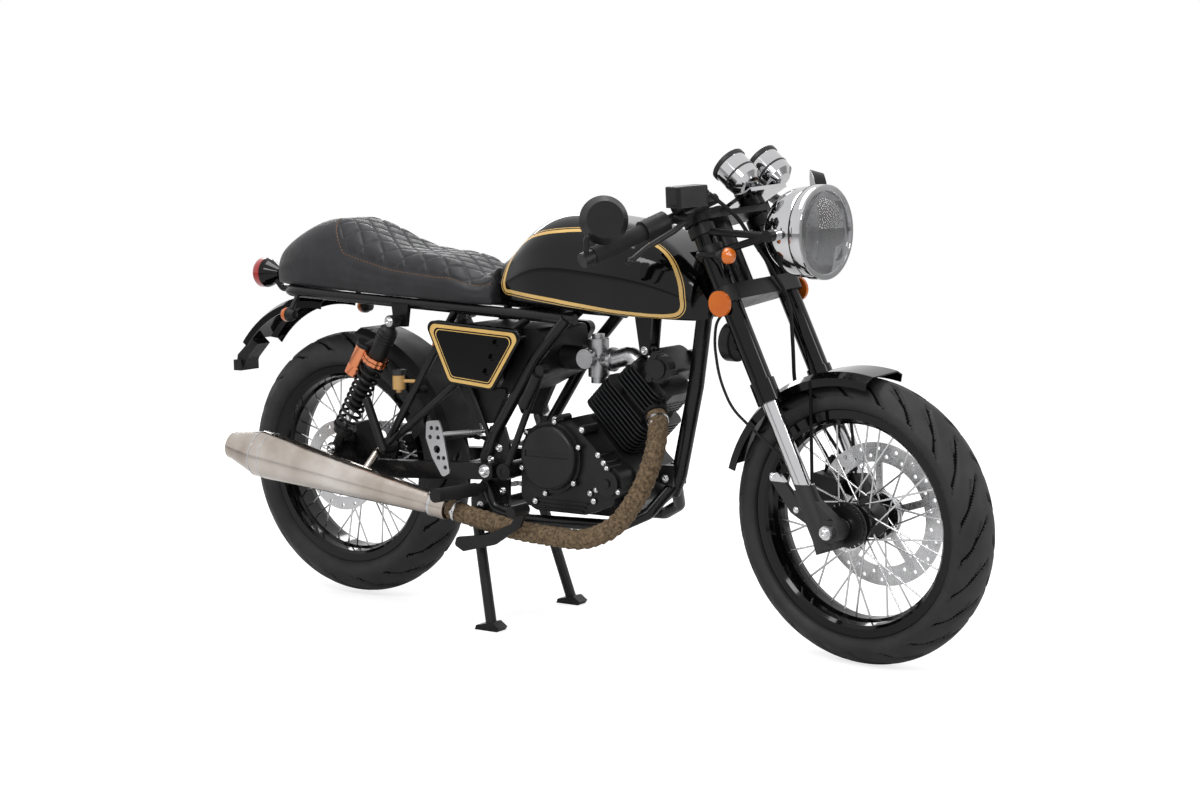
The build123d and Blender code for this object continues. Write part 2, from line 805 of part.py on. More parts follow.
    shell = make_mudguard(
        front_axle, front_fender_radius, front_fender_half_width, front_fender_angle, front_fender_arc
    )
    stays = []
    for side in (1, -1):
        for angle in (128.0, 104.0):
            up = Vector(math.cos(math.radians(angle)), 0, math.sin(math.radians(angle)))
            skirt_y = side * (front_fender_half_width - fender_wall / 2)
            top = front_axle + up * (front_fender_radius - 12) + Vector(0, skirt_y, 0)
            foot = on_leg(fork_foot_top_z - 14, side * (fork_half_spacing - fork_slider_radius - 2))
            stays.append(rod(top, foot, 3.5))
    with BuildPart() as front_guard:
        add(shell)
        add(stays)
        for side in (1, -1):
            foot_top = on_leg(fork_foot_top_z + seat_gap, side * fork_half_spacing)
            foot_low = on_leg(fork_foot_top_z - 60, side * fork_half_spacing)
            add(rod(foot_low, foot_top, fork_slider_radius + 6 + seat_gap), mode=Mode.SUBTRACT)
    keep(front_guard.part, "front_fender", True)

    lug_height = 330.0
    with BuildPart() as caliper:
        add(make_caliper(front_axle, front_disc_y, front_disc_radius - 22, 168.0, 1))
        foot_radius = fork_slider_radius + 6
        lug_y = front_disc_y + caliper_half_depth - 5
        lug_end = on_leg(lug_height, lug_y) - steer_forward * (foot_radius + seat_gap - 2)
        add(rod(lug_end, lug_end - steer_forward * 28, 9))
        foot_low = on_leg(lug_height - 40, fork_half_spacing)
        foot_high = on_leg(lug_height + 40, fork_half_spacing)
        add(rod(foot_low, foot_high, foot_radius + seat_gap), mode=Mode.SUBTRACT)
    keep(caliper.part, "front_brake_caliper", True)


def make_mudguard(centre, radius, half, start_angle, arc):
    """A thin shell over a wheel, with turned-down sides, from start_angle towards the rear by arc degrees."""
    wall = fender_wall
    skirt = fender_skirt
    with BuildPart() as guard:
        with BuildSketch(wheel_plane(centre)):
            with BuildLine():
                Polyline(
                    (radius - skirt, half),
                    (radius - 10, half),
                    (radius, half - 20),
                    (radius, 20 - half),
                    (radius - 10, -half),
                    (radius - skirt, -half),
                    (radius - skirt, wall - half),
                    (radius - 11, wall - half),
                    (radius - wall, 21 - half),
                    (radius - wall, half - 21),
                    (radius - 11, half - wall),
                    (radius - skirt, half - wall),
                    close=True,
                )
            make_face()
        revolve(axis=Axis(centre, (0, -1, 0)), revolution_arc=arc)
    return guard.part.rotate(Axis(centre, (0, -1, 0)), start_angle)


def make_caliper(centre, y, radius, angle, side):
    """A two-piston caliper astride a brake disc."""
    a = math.radians(angle)
    place = centre + Vector(math.cos(a) * radius, y, math.sin(a) * radius)
    plane = Plane(origin=place, x_dir=(math.cos(a), 0, math.sin(a)), z_dir=(0, 1, 0))
    with BuildPart() as caliper:
        with BuildSketch(plane):
            with Locations((3, 0)):
                RectangleRounded(66, 92, 10)
        extrude(amount=caliper_half_depth, both=True)
        with BuildSketch(plane.offset(side * caliper_half_depth)):
            with GridLocations(1, 40, 1, 2):
                Circle(16)
        extrude(amount=side * caliper_cap_depth)
        with BuildSketch(plane):
            with Locations((-6, 0)):
                Rectangle(68, 120)
        extrude(amount=disc_thickness / 2 + 1.2, both=True, mode=Mode.SUBTRACT)
    return caliper.part


def seat_base(x):
    """Height of the line on which the seat rests."""
    return 733.0 - 0.0484 * (x + 150.0)


def rail_point(x, side):
    """A point on the centre line of a seat rail."""
    return Vector(x, side * rail_half_spacing, seat_base(x) - rail_radius - seat_gap)


def side_slab(points, side, y_inner, y_outer, corner=0.0):
    """A plate in the side view on the left or right of the bike."""
    return slab(points, min(side * y_inner, side * y_outer), max(side * y_inner, side * y_outer), corner)


def build_frame():
    """The welded tube frame: head tube, backbone, cradle, rear loop, struts and pivot plates."""
    low = on_steering_axis(lower_yoke_z) + steer_up * (lower_yoke_thickness / 2 + seat_gap)
    high = on_steering_axis(upper_yoke_z) - steer_up * (upper_yoke_thickness / 2 + seat_gap)
    y = rear_tube_half_spacing
    tubes = [
        rod(low, high, head_tube_radius),
        pipe([on_steering_axis(820), (900, 0, 785), (640, 0, 742), (548, 0, seat_base(548) - 18)], 20, 60),
        pipe([on_steering_axis(800), (952, 0, 700), (928, 0, 542), (884, 0, 350), (866, 0, 310)], 17, 40),
        slab([(1004, 812), (1014, 772), (945, 640), (934, 650), (934, 770)], -4, 4),
        rod(rail_point(548, -1), rail_point(548, 1), 14),
        rod(rail_point(250, -1), rail_point(250, 1), 10),
        pipe(
            [rail_point(690, -1), rail_point(-150, -1), rail_point(-150, 1), rail_point(690, 1)],
            rail_radius,
            60,
        ),
    ]
    for side in (1, -1):
        tubes.append(side_slab([(888, 374), (850, 372), (844, 350), (850, 334), (884, 328)], side, 12, 27))
        strut_foot = Vector(172, side * strut_foot_y, 374)
        tubes += [
            pipe(
                [
                    (874, side * 4, 330),
                    (846, side * 60, 274),
                    (790, side * 90, 246),
                    (560, side * 98, 240),
                    (472, side * y, 262),
                    (449, side * y, 316),
                ],
                frame_tube_radius,
                24,
            ),
            pipe(
                [
                    (456, side * y, 380),
                    (478, side * y, 428),
                    (592, side * y, 596),
                    (672, side * y, seat_base(672) - rail_radius),
                ],
                frame_tube_radius,
                30,
            ),
            rod(rail_point(374, side), strut_foot, strut_radius),
            rod(rail_point(cover_strut_x, side), strut_foot, strut_radius),
            rod((400, side * y, 552), (470, side * y, 392), 6),
            side_slab(
                [(150, 376), (160, 350), (205, 350), (215, 392), (180, 398)],
                side,
                rail_half_spacing + 13,
                rail_half_spacing + 23,
            ),
            side_slab(
                [
                    (512, 404),
                    (500, 440),
                    (462, 440),
                    (444, 404),
                    (432, 372),
                    (438, 322),
                    (404, 276),
                    (404, 232),
                    (448, 228),
                    (508, 250),
                ],
                side,
                y - 10,
                y - 10 + frame_plate_thickness,
            ),
            side_slab(
                [(200, seat_base(200) - 14), (248, seat_base(248) - 14), (240, 650), (206, 650)],
                side,
                rail_half_spacing + 4,
                shock_half_spacing - 24,
            ),
            rod(
                (shock_top_x, side * (rail_half_spacing + 6), shock_top_z),
                (shock_top_x, side * (shock_half_spacing + 16), shock_top_z),
                shock_pin_radius,
            ),
        ]
        tubes.append(
            side_slab(
                [
                    (778, 762),
                    (842, 770),
                    (head_bolt_x + 11, head_bolt_z - 10),
                    (head_bolt_x - 11, head_bolt_z - 10),
                ],
                side,
                14 + seat_gap,
                20,
            )
        )
    for x, z in ((730, 757), (860, 778)):
        tubes.append(rod((x, -24 + seat_gap, z), (x, 24 - seat_gap, z), 13))
    pedal_plate = [(448, 240), (500, 244), (484, 192), (458, 192)]
    tubes.append(side_slab(pedal_plate, -1, y - 10, y - 10 + frame_plate_thickness))
    with BuildPart() as frame:
        add(tubes)
        add(rod(low - steer_up, high + steer_up, stem_radius + running_gap), mode=Mode.SUBTRACT)
        lug_slot = slab([(800, 300), (849, 300), (862, 400), (800, 400)], -20 - seat_gap, 20 + seat_gap)
        add(lug_slot, mode=Mode.SUBTRACT)
        pivot_ends = [(swing_pivot_x, reach, swing_pivot_z) for reach in (-150, 150)]
        add(rod(*pivot_ends, swing_pivot_radius + fit_gap), mode=Mode.SUBTRACT)
        add(
            rod((stand_pivot_x, -150, stand_pivot_z), (stand_pivot_x, 150, stand_pivot_z), 8 + running_gap),
            mode=Mode.SUBTRACT,
        )
    keep(frame.part, "main_frame")


def build_rear_suspension():
    """Swingarm with its pivot and axle, and a spring-and-damper unit on each side."""
    parts = [
        rod(
            (swing_pivot_x, -arm_half_spacing - arm_width / 2, swing_pivot_z),
            (swing_pivot_x, arm_half_spacing + arm_width / 2, swing_pivot_z),
            swing_pivot_radius,
        ),
        rod((372, -arm_half_spacing, 336), (372, arm_half_spacing, 336), 15),
    ]
    for side in (1, -1):
        parts.append(
            side_slab(
                [
                    (swing_pivot_x + 20, swing_pivot_z + 18),
                    (swing_pivot_x + 20, swing_pivot_z - 18),
                    (-44, rear_axle_z - arm_height / 2),
                    (-44, rear_axle_z + arm_height / 2),
                ],
                side,
                arm_half_spacing - arm_width / 2,
                arm_half_spacing + arm_width / 2,
                8,
            )
        )
        parts.append(
            side_slab(
                [(10, 330), (24, 382), (42, 388), (60, 382), (96, 334)],
                side,
                arm_half_spacing - 5,
                arm_half_spacing + 5,
                6,
            )
        )
        parts.append(
            rod(
                (shock_bottom_x, side * arm_half_spacing, shock_bottom_z),
                (shock_bottom_x, side * (shock_half_spacing + 16), shock_bottom_z),
                shock_pin_radius,
            )
        )
    with BuildPart() as swingarm:
        add(parts)
        axle_way = Vector(0, 160, 0)
        add(rod(rear_axle - axle_way, rear_axle + axle_way, axle_radius + fit_gap), mode=Mode.SUBTRACT)
    keep(swingarm.part, "swingarm")

    outer = arm_half_spacing + arm_width / 2
    inner = arm_half_spacing - arm_width / 2
    with BuildPart() as axle:
        add(rod(rear_axle - Vector(0, outer + 16, 0), rear_axle + Vector(0, outer + 16, 0), axle_radius))
        spacer_lengths = [
            (outer + seat_gap, outer + 13, 15),
            (-outer - seat_gap, -outer - 13, 15),
            (-inner + seat_gap, -rear_disc_y - 3, 16),
            (inner - seat_gap, chain_y + 12, 16),
        ]
        for start_y, end_y, radius in spacer_lengths:
            add(rod(rear_axle + Vector(0, start_y, 0), rear_axle + Vector(0, end_y, 0), radius))
    keep(axle.part, "rear_axle")

    keep(Compound(children=[make_shock(side) for side in (1, -1)]), "shock_absorbers")


def make_shock(side):
    """A damper with its round spring coils, its collars, its two eyes and a separate reservoir."""
    y = side * shock_half_spacing
    top = Vector(shock_top_x, y, shock_top_z)
    bottom = Vector(shock_bottom_x, y, shock_bottom_z)
    up = (top - bottom).normalized()
    length = (top - bottom).length
    spring_low = 62.0
    pitch = (length - 112.0 - spring_low) / spring_turns
    groove = spring_radius - 7
    collar = spring_radius + 2
    with BuildPart() as shock:
        plane = Plane(origin=bottom, x_dir=(0, 1, 0), z_dir=Vector(0, 1, 0).cross(up))
        with BuildSketch(plane):
            with BuildLine():
                Polyline((0, 8), (11, 8), (11, 40), (22, 44), (22, 58), (collar, 60), (collar, spring_low))
                Line((collar, spring_low), (groove, spring_low))
                for k in range(spring_turns):
                    low = spring_low + pitch * k
                    Line((groove, low), (groove, low + pitch * 0.25))
                    coil_low, coil_high = low + pitch * 0.25, low + pitch * 0.75
                    ThreePointArc((groove, coil_low), (spring_radius, low + pitch / 2), (groove, coil_high))
                    Line((groove, coil_high), (groove, low + pitch))
                spring_high = spring_low + pitch * spring_turns
                Polyline(
                    (groove, spring_high),
                    (collar, spring_high),
                    (collar, spring_high + 12),
                    (21, spring_high + 14),
                    (21, length - 20),
                    (12, length - 8),
                    (0, length - 8),
                    (0, 8),
                )
            make_face()
        revolve(axis=Axis(bottom, up))
        tank_top = top - up * 34 + Vector(-58, side * 6, -22)
        add(rod(top - Vector(0, 12, 0), top + Vector(0, 12, 0), 14))
        add(rod(bottom - Vector(0, 12, 0), bottom + Vector(0, 12, 0), 14))
        add(rod(tank_top, tank_top - up * 84, 18))
        add(rod(tank_top + up * 0.5, tank_top - up * 9, 20))
        add(rod(top - up * 44, tank_top - up * 12, 9))
        for eye in (top, bottom):
            hole = rod(eye - Vector(0, 30, 0), eye + Vector(0, 30, 0), shock_pin_radius + fit_gap)
            add(hole, mode=Mode.SUBTRACT)
    return shock.part


def build_crankcase():
    """Crankcase halves with the clutch, filter and magneto covers, sump ribs and the front sprocket."""
    half = crankcase_half_width
    base = cylinder_base
    case = slab(
        [
            (534, 300),
            (566, 262),
            (790, 262),
            (836, 300),
            (838, 352),
            (base.X + 54 * cylinder_ahead.X, base.Z + 54 * cylinder_ahead.Z),
            (base.X - 54 * cylinder_ahead.X, base.Z - 54 * cylinder_ahead.Z),
            (640, 462),
            (548, 420),
        ],
        14 - half,
        half - 14,
        10,
    )
    right_cover = side_slab(
        [
            (560, 292),
            (600, 270),
            (730, 270),
            (800, 296),
            (812, 340),
            (770, 400),
            (712, 452),
            (640, 470),
            (566, 420),
        ],
        -1,
        half - 16,
        cover_half_width,
        24,
    )
    left_cover = side_slab(
        [(640, 300), (700, 272), (770, 290), (800, 340), (770, 400), (700, 440), (640, 430)],
        1,
        half - 16,
        cover_half_width - 14,
        30,
    )
    clutch_centre = Vector(clutch_x, 0, clutch_z)
    filter_centre = Vector(789, 0, 343)
    magneto_centre = Vector(712, 0, 372)
    outward = Vector(0, -1, 0)
    with BuildPart() as crankcase:
        add([case, right_cover, left_cover])
        add(rod(clutch_centre + outward * 100, clutch_centre + outward * clutch_face_y, clutch_radius))
        circles = crankcase.edges().filter_by(GeomType.CIRCLE)
        rim = circles.filter_by(lambda edge: abs(edge.radius - clutch_radius) < 0.1)
        fillet(rim.sort_by(Axis.Y)[0], 9)
        ring_face = clutch_centre + outward * (cover_half_width + 9)
        add(rod(clutch_centre + outward * 100, ring_face, clutch_radius + 7))
        with Locations(clutch_centre + outward * clutch_face_y + Vector(0, 0, 8)):
            Box(2 * clutch_radius - 28, 5, 13, mode=Mode.SUBTRACT)
        with BuildSketch(Plane(origin=clutch_centre + outward * 110, x_dir=(1, 0, 0), z_dir=(0, -1, 0))):
            with PolarLocations(clutch_radius + 9, 6, start_angle=20):
                Circle(7)
        extrude(amount=cover_half_width + 12 - 110)
        for x, z, radius, stand_out in cover_bosses:
            add(rod((x, 14 - half, z), (x, -cover_half_width - stand_out, z), radius))
        for stand_out, radius in ((2, 36), (10, 28), (14, 9)):
            reach = cover_half_width + stand_out
            add(rod(filter_centre + outward * 60, filter_centre + outward * reach, radius))
        with BuildSketch(Plane(origin=filter_centre + outward * 60, x_dir=(1, 0, 0), z_dir=(0, -1, 0))):
            with PolarLocations(32, 3, start_angle=90):
                Circle(9)
        extrude(amount=cover_half_width + 8 - 60)
        for k in range(3):
            with Locations(Location((672, -cover_half_width, 276 + 9 * k))):
                Box(104 + 12 * k, 8, 3)
        add(rod(magneto_centre + outward * -60, magneto_centre + outward * (-cover_half_width - 2), 46))
        add(rod(magneto_centre + outward * -60, magneto_centre + outward * (-cover_half_width - 6), 16))
        kick_shaft = Vector(kick_shaft_x, 0, kick_shaft_z)
        add(rod(kick_shaft + outward * (half - 30), kick_shaft + outward * (cover_half_width + 2), 17))
        add(rod(kick_shaft + outward * half, kick_shaft + outward * 158, 8))
        add(rod((838, -20, 350), (838, 20, 350), 15))
        add(side_slab([(540, 300), (540, 330), (525, 330), (525, 300)], 1, 0, 76))
        chain_shaft = Vector(front_sprocket_x, 0, front_sprocket_z)
        with Locations(chain_shaft - outward * (chain_y + 40)):
            Box(108, 2 * (40 + 12), 92, mode=Mode.SUBTRACT)
        add(rod(chain_shaft - outward * 60, chain_shaft - outward * (chain_y + 12), 10))
        with BuildSketch(Plane(origin=chain_shaft - outward * chain_y, z_dir=(0, 1, 0))):
            with BuildLine():
                Polyline(*toothed_outline(front_sprocket_radius), close=True)
            make_face()
        extrude(amount=sprocket_thickness / 2, both=True)
    keep(crankcase.part, "engine_crankcase")


def build_cylinder():
    """The finned barrel, and the head with its fins, rocker cover, ports, round end caps and top mount."""
    barrel_plane = Plane(origin=cylinder_base, x_dir=cylinder_ahead, z_dir=cylinder_up)
    fin_middle = (fin_front_reach - fin_back_reach) / 2
    port_way = (cylinder_ahead + Vector(0, -0.75, 0)).normalized()
    port = cylinder_base + cylinder_up * (barrel_length + 20) + cylinder_ahead * 34 + Vector(0, -38, 0)
    with BuildPart() as barrel:
        with BuildSketch(barrel_plane.offset(seat_gap)):
            RectangleRounded(102, 102, 24)
        extrude(amount=barrel_length - seat_gap)
        for k in range(fin_count):
            with BuildSketch(barrel_plane.offset(8 + fin_pitch * k)):
                with Locations((fin_middle, 0)):
                    RectangleRounded(fin_front_reach + fin_back_reach, 2 * fin_half_width, 22)
            extrude(amount=fin_thickness)
        add(rod(port + port_way * 16, port + port_way * 80, 35), mode=Mode.SUBTRACT)
    keep(barrel.part, "cylinder_barrel")

    head_base = barrel_plane.offset(barrel_length + seat_gap)
    head_top = barrel_length + head_height
    cap_level = head_top + rocker_cover_height * 0.62
    inlet = cylinder_base + cylinder_up * (barrel_length + 36) - cylinder_ahead * 44
    inlet_length = 30.0
    with BuildPart() as cylinder_head:
        with BuildSketch(head_base):
            RectangleRounded(92, 110, 20)
        extrude(amount=head_height)
        for k in range(6):
            with BuildSketch(head_base.offset(8 + fin_pitch * k)):
                with Locations((-12, 0)):
                    RectangleRounded(118 if k < 4 else 104, 138, 22)
            extrude(amount=fin_thickness)
        with BuildSketch(head_base.offset(head_height)):
            with Locations((-14, 0)):
                RectangleRounded(70, 116, 22)
        extrude(amount=rocker_cover_height)
        fillet(cylinder_head.faces().sort_by(Axis(cylinder_base, cylinder_up))[-1].edges(), 8)
        for side in (1, -1):
            cap_plane = Plane(
                origin=cylinder_base + cylinder_up * cap_level - cylinder_ahead * 6,
                x_dir=cylinder_ahead,
                z_dir=(0, side, 0),
            )
            for near, far, radius in ((46, 72, 29), (46, 77, 20)):
                with BuildSketch(cap_plane.offset(near)):
                    Circle(radius)
                extrude(amount=far - near)
            with BuildSketch(cap_plane.offset(46)):
                with PolarLocations(29, 3, start_angle=30):
                    Circle(8)
            extrude(amount=28)
        with BuildSketch(Plane(origin=port, z_dir=port_way)):
            Circle(19)
        extrude(amount=26)
        with BuildSketch(Plane(origin=port + port_way * 18, x_dir=cylinder_up, z_dir=port_way)):
            with Locations((-24, 0), (24, 0)):
                Circle(9)
            make_hull()
            Circle(26)
        extrude(amount=8)
        add(rod(inlet, inlet - cylinder_ahead * inlet_length, 24))
        lug = Vector(head_bolt_x, 0, head_bolt_z)
        add(rod(lug + Vector(0, -14, 0), lug + Vector(0, 14, 0), 12))
        lug_root = cylinder_base + cylinder_up * (head_top + 14) - cylinder_ahead * 30
        add(rod(lug, lug_root, 10))
    keep(cylinder_head.part, "cylinder_head")

    port_face = port + port_way * (26 + seat_gap)
    header_route = [
        port_face,
        port_face + port_way * 26,
        (896, -112, 412),
        (886, -146, 340),
        (838, -168, 262),
        (762, -178, 226),
        (590, -182, 232),
        (466, -195, 258),
        muffler_joint,
    ]
    keep(pipe(header_route, header_radius, smooth_radii(header_route)), "exhaust_header")
    build_intake(inlet - cylinder_ahead * (inlet_length + seat_gap))


def build_intake(flange):
    """The carburettor with its float bowl, slide top and throttle drum, and the airbox with its duct."""
    body = Vector(690, 0, 588)
    duct_x = body.X - 44
    with BuildPart() as carburettor:
        add(pipe([flange, flange - cylinder_ahead * 22, body + Vector(34, 0, 0), body], 20, 21))
        add(rod(flange, flange - cylinder_ahead * 7, 27))
        add(rod(body, (duct_x, 0, body.Z), 22))
        add(rod(body + Vector(-8, 0, -38), body + Vector(-8, 0, 44), 23))
        add(rod(body + Vector(-8, 0, -52), body + Vector(-8, 0, -36), 17))
        add(rod(body + Vector(-8, 0, 40), body + Vector(-8, 0, 54), 14))
        add(rod(body + Vector(-10, -16, 4), body + Vector(-10, -44, 4), 13))
        add(rod(body + Vector(-10, -40, 4), body + Vector(-10, -52, 4), 21))
        add(rod(body + Vector(26, 0, 0), body + Vector(34, 0, 0), 26))
    keep(carburettor.part, "carburettor")

    side = rear_tube_half_spacing - frame_tube_radius - 1 - seat_gap
    with BuildPart() as airbox:
        add(slab([(336, 656), (590, 656), (600, 560), (494, 508), (392, 520)], -side, side, 12))
        add(rod((590, 0, body.Z), (duct_x - seat_gap, 0, body.Z), 27))
        for way in (1, -1):
            panel = [(372, 530), (505, 522), (464, 445), (412, 443)]
            add(side_slab(panel, way, side - 10, side + 6, 6))
    keep(airbox.part, "airbox")


def build_muffler():
    """The tapered silencer on its hanger."""
    along = (muffler_tail - muffler_joint).normalized()
    muffler_length = (muffler_tail - muffler_joint).length
    muffler_profile = [
        (header_radius + 3, 1),
        (header_radius + 7, 1),
        (header_radius + 7, 44),
        (header_radius + 4, 52),
        (muffler_radius, muffler_length - 112),
        (muffler_radius, muffler_length - 88),
        (muffler_radius - 22, muffler_length - 6),
        (muffler_radius - 22, muffler_length),
        (muffler_radius - 27, muffler_length),
        (muffler_radius - 27, muffler_length - 30),
        (0, muffler_length - 30),
        (0, 30),
        (header_radius + 3, 30),
    ]
    across = along.cross(Vector(0, 1, 0))
    can = turned(muffler_profile, Plane(origin=muffler_joint, x_dir=across, z_dir=across.cross(along)))
    hanger = Vector(182, -(strut_foot_y + 9 + seat_gap), 370)
    with BuildPart() as muffler:
        add(can)
        add(pipe([hanger, hanger + Vector(0, -30, 0), hanger + Vector(0, -82, -44)], 9, 16))
    keep(muffler.part, "muffler")


def body_section(x, half, low, high, shoulder):
    """A cross-section of the tank or the seat at x, with rounded shoulders and slightly full sides."""
    height = high - low
    edge, belly = 0.08 * height, 0.3 * height
    with BuildSketch(Plane(origin=(x, 0, 0), x_dir=(0, 1, 0), z_dir=(1, 0, 0))) as section:
        with BuildLine():
            FilletPolyline(
                (half * 0.9, low),
                (half, low + height * 0.45),
                (half * 0.82, high),
                (-half * 0.82, high),
                (-half, low + height * 0.45),
                (-half * 0.9, low),
                radius=[edge, belly, shoulder, shoulder, belly, edge],
                close=True,
            )
        make_face()
    return section.sketch


def build_bodywork():
    """Fuel tank with its cap, seat and side covers."""
    with BuildPart() as tank:
        for x, half, low, high, shoulder in tank_sections:
            add(body_section(x, half, low, high, shoulder))
        loft()
        tunnel = slab([(460, 600), (540, 720), (640, 770), (900, 812), (1040, 862), (1040, 600)], -24, 24)
        add(tunnel, mode=Mode.SUBTRACT)
        add(rod((cap_x, 0, cap_seat_z), (cap_x, 0, 960), cap_radius + seat_gap), mode=Mode.SUBTRACT)
    keep(tank.part, "fuel_tank")
    with BuildPart() as cap:
        add(rod((cap_x, 0, cap_seat_z + seat_gap), (cap_x, 0, cap_seat_z + 19), cap_radius))
        with Locations(Location((cap_x, 0, cap_seat_z + 21))):
            Box(48, 10, 6)
        fillet(cap.faces().sort_by(Axis.Z)[-1].edges(), 2)
    keep(cap.part, "filler_cap")

    with BuildPart() as seat:
        for x, half, high, shoulder in seat_sections:
            add(body_section(x, half, seat_base(x), high, shoulder))
        loft()
    keep(seat.part, "seat")

    outline = [(314, 671), (591, 655), (500, 522), (379, 533)]
    covers = []
    for side in (1, -1):
        with BuildPart() as cover:
            add(side_slab(outline, side, cover_inner_y, cover_outer_y, 16))
            face = cover.faces().sort_by(Axis.Y)[-1 if side > 0 else 0]
            fillet(face.edges(), 4)
            for x, z in cover_scoops:
                scoop = Vector(x, side * cover_outer_y, z)
                with BuildSketch(Plane(origin=scoop, x_dir=(1, 0, 0), z_dir=(0, side, 0))):
                    SlotOverall(48, 15)
                extrude(amount=-7, mode=Mode.SUBTRACT)
            strut_top = rail_point(cover_strut_x, side)
            boss = strut_top + (Vector(172, side * strut_foot_y, 374) - strut_top) * 0.26
            boss_y = side * boss.Y + strut_radius + seat_gap
            add(rod((boss.X, side * boss_y, boss.Z), (boss.X, side * (cover_inner_y + 1), boss.Z), 9))
        covers.append(cover.part)
    keep(Compound(children=covers), "side_covers")


def build_rear_end():
    """Mudguards, tail light, indicators and the number plate carrier."""
    guard_centre = rear_guard_centre
    loop_bottom = seat_base(-150) - 2 * rail_radius - seat_gap
    with BuildPart() as rear_guard:
        add(make_mudguard(guard_centre, rear_guard_radius, 62, 82, 60))
        add(rod((-150, 0, 694), (-150, 0, loop_bottom - seat_gap), 9))
    keep(rear_guard.part, "rear_fender")
    with BuildPart() as hugger:
        add(make_mudguard(rear_axle, rear_tyre_radius + 20, 74, 14, 66))
        for side in (1, -1):
            add(rod((258, side * 73, 508), (258, side * 98.6, 508), 7))
    keep(hugger.part, "inner_mudguard")

    loop_z = seat_base(-150) - rail_radius - seat_gap
    with BuildPart() as tail_light:
        add(pipe([(-162.4, 0, loop_z - 4), (-232, 0, loop_z - 4), (-262, 0, 750)], 8, 14))
        add(
            turned(
                [(0, -36), (12, -34), (31, -6), (35, 4), (35, 22), (32, 26), (0, 26)],
                Plane(origin=(-272, 0, 753), x_dir=(0, 0, 1), z_dir=(0, -1, 0)),
            )
        )
    keep(tail_light.part, "tail_light")

    signals = []
    for side in (1, -1):
        bulb_centre = Vector(-90, side * 134, 668)
        stem_top = rail_point(-90, side) + Vector(0, side * 6, -8)
        with BuildPart() as signal:
            add(
                turned(
                    [(0, -20), (10, -18), (16, -4), (16, 8), (13, 14), (0, 18)],
                    Plane(origin=bulb_centre, x_dir=(0, 0, 1), z_dir=(0, -1, 0)),
                )
            )
            add(rod(stem_top, bulb_centre, 5.5))
            rail_bit = rod(rail_point(-115, side), rail_point(-65, side), rail_radius + seat_gap)
            add(rail_bit, mode=Mode.SUBTRACT)
        signals.append(signal.part)
    keep(Compound(children=signals), "rear_signals")

    end_angle = math.radians(142.06)
    end_way = Vector(math.cos(end_angle), 0, math.sin(end_angle))
    inside = guard_centre + end_way * (rear_guard_radius - 22)
    outside = guard_centre + end_way * rear_guard_radius
    arm = [(inside.X, inside.Z), (outside.X, outside.Z), (-368, 553), (-374, 524), (-350, 520), (-338, 545)]
    with BuildPart() as carrier:
        add(slab(arm, -22, 22))
        with Locations(Location((-362, 0, 528))):
            Box(24, 62, 26)
    keep(carrier.part, "number_plate_carrier")


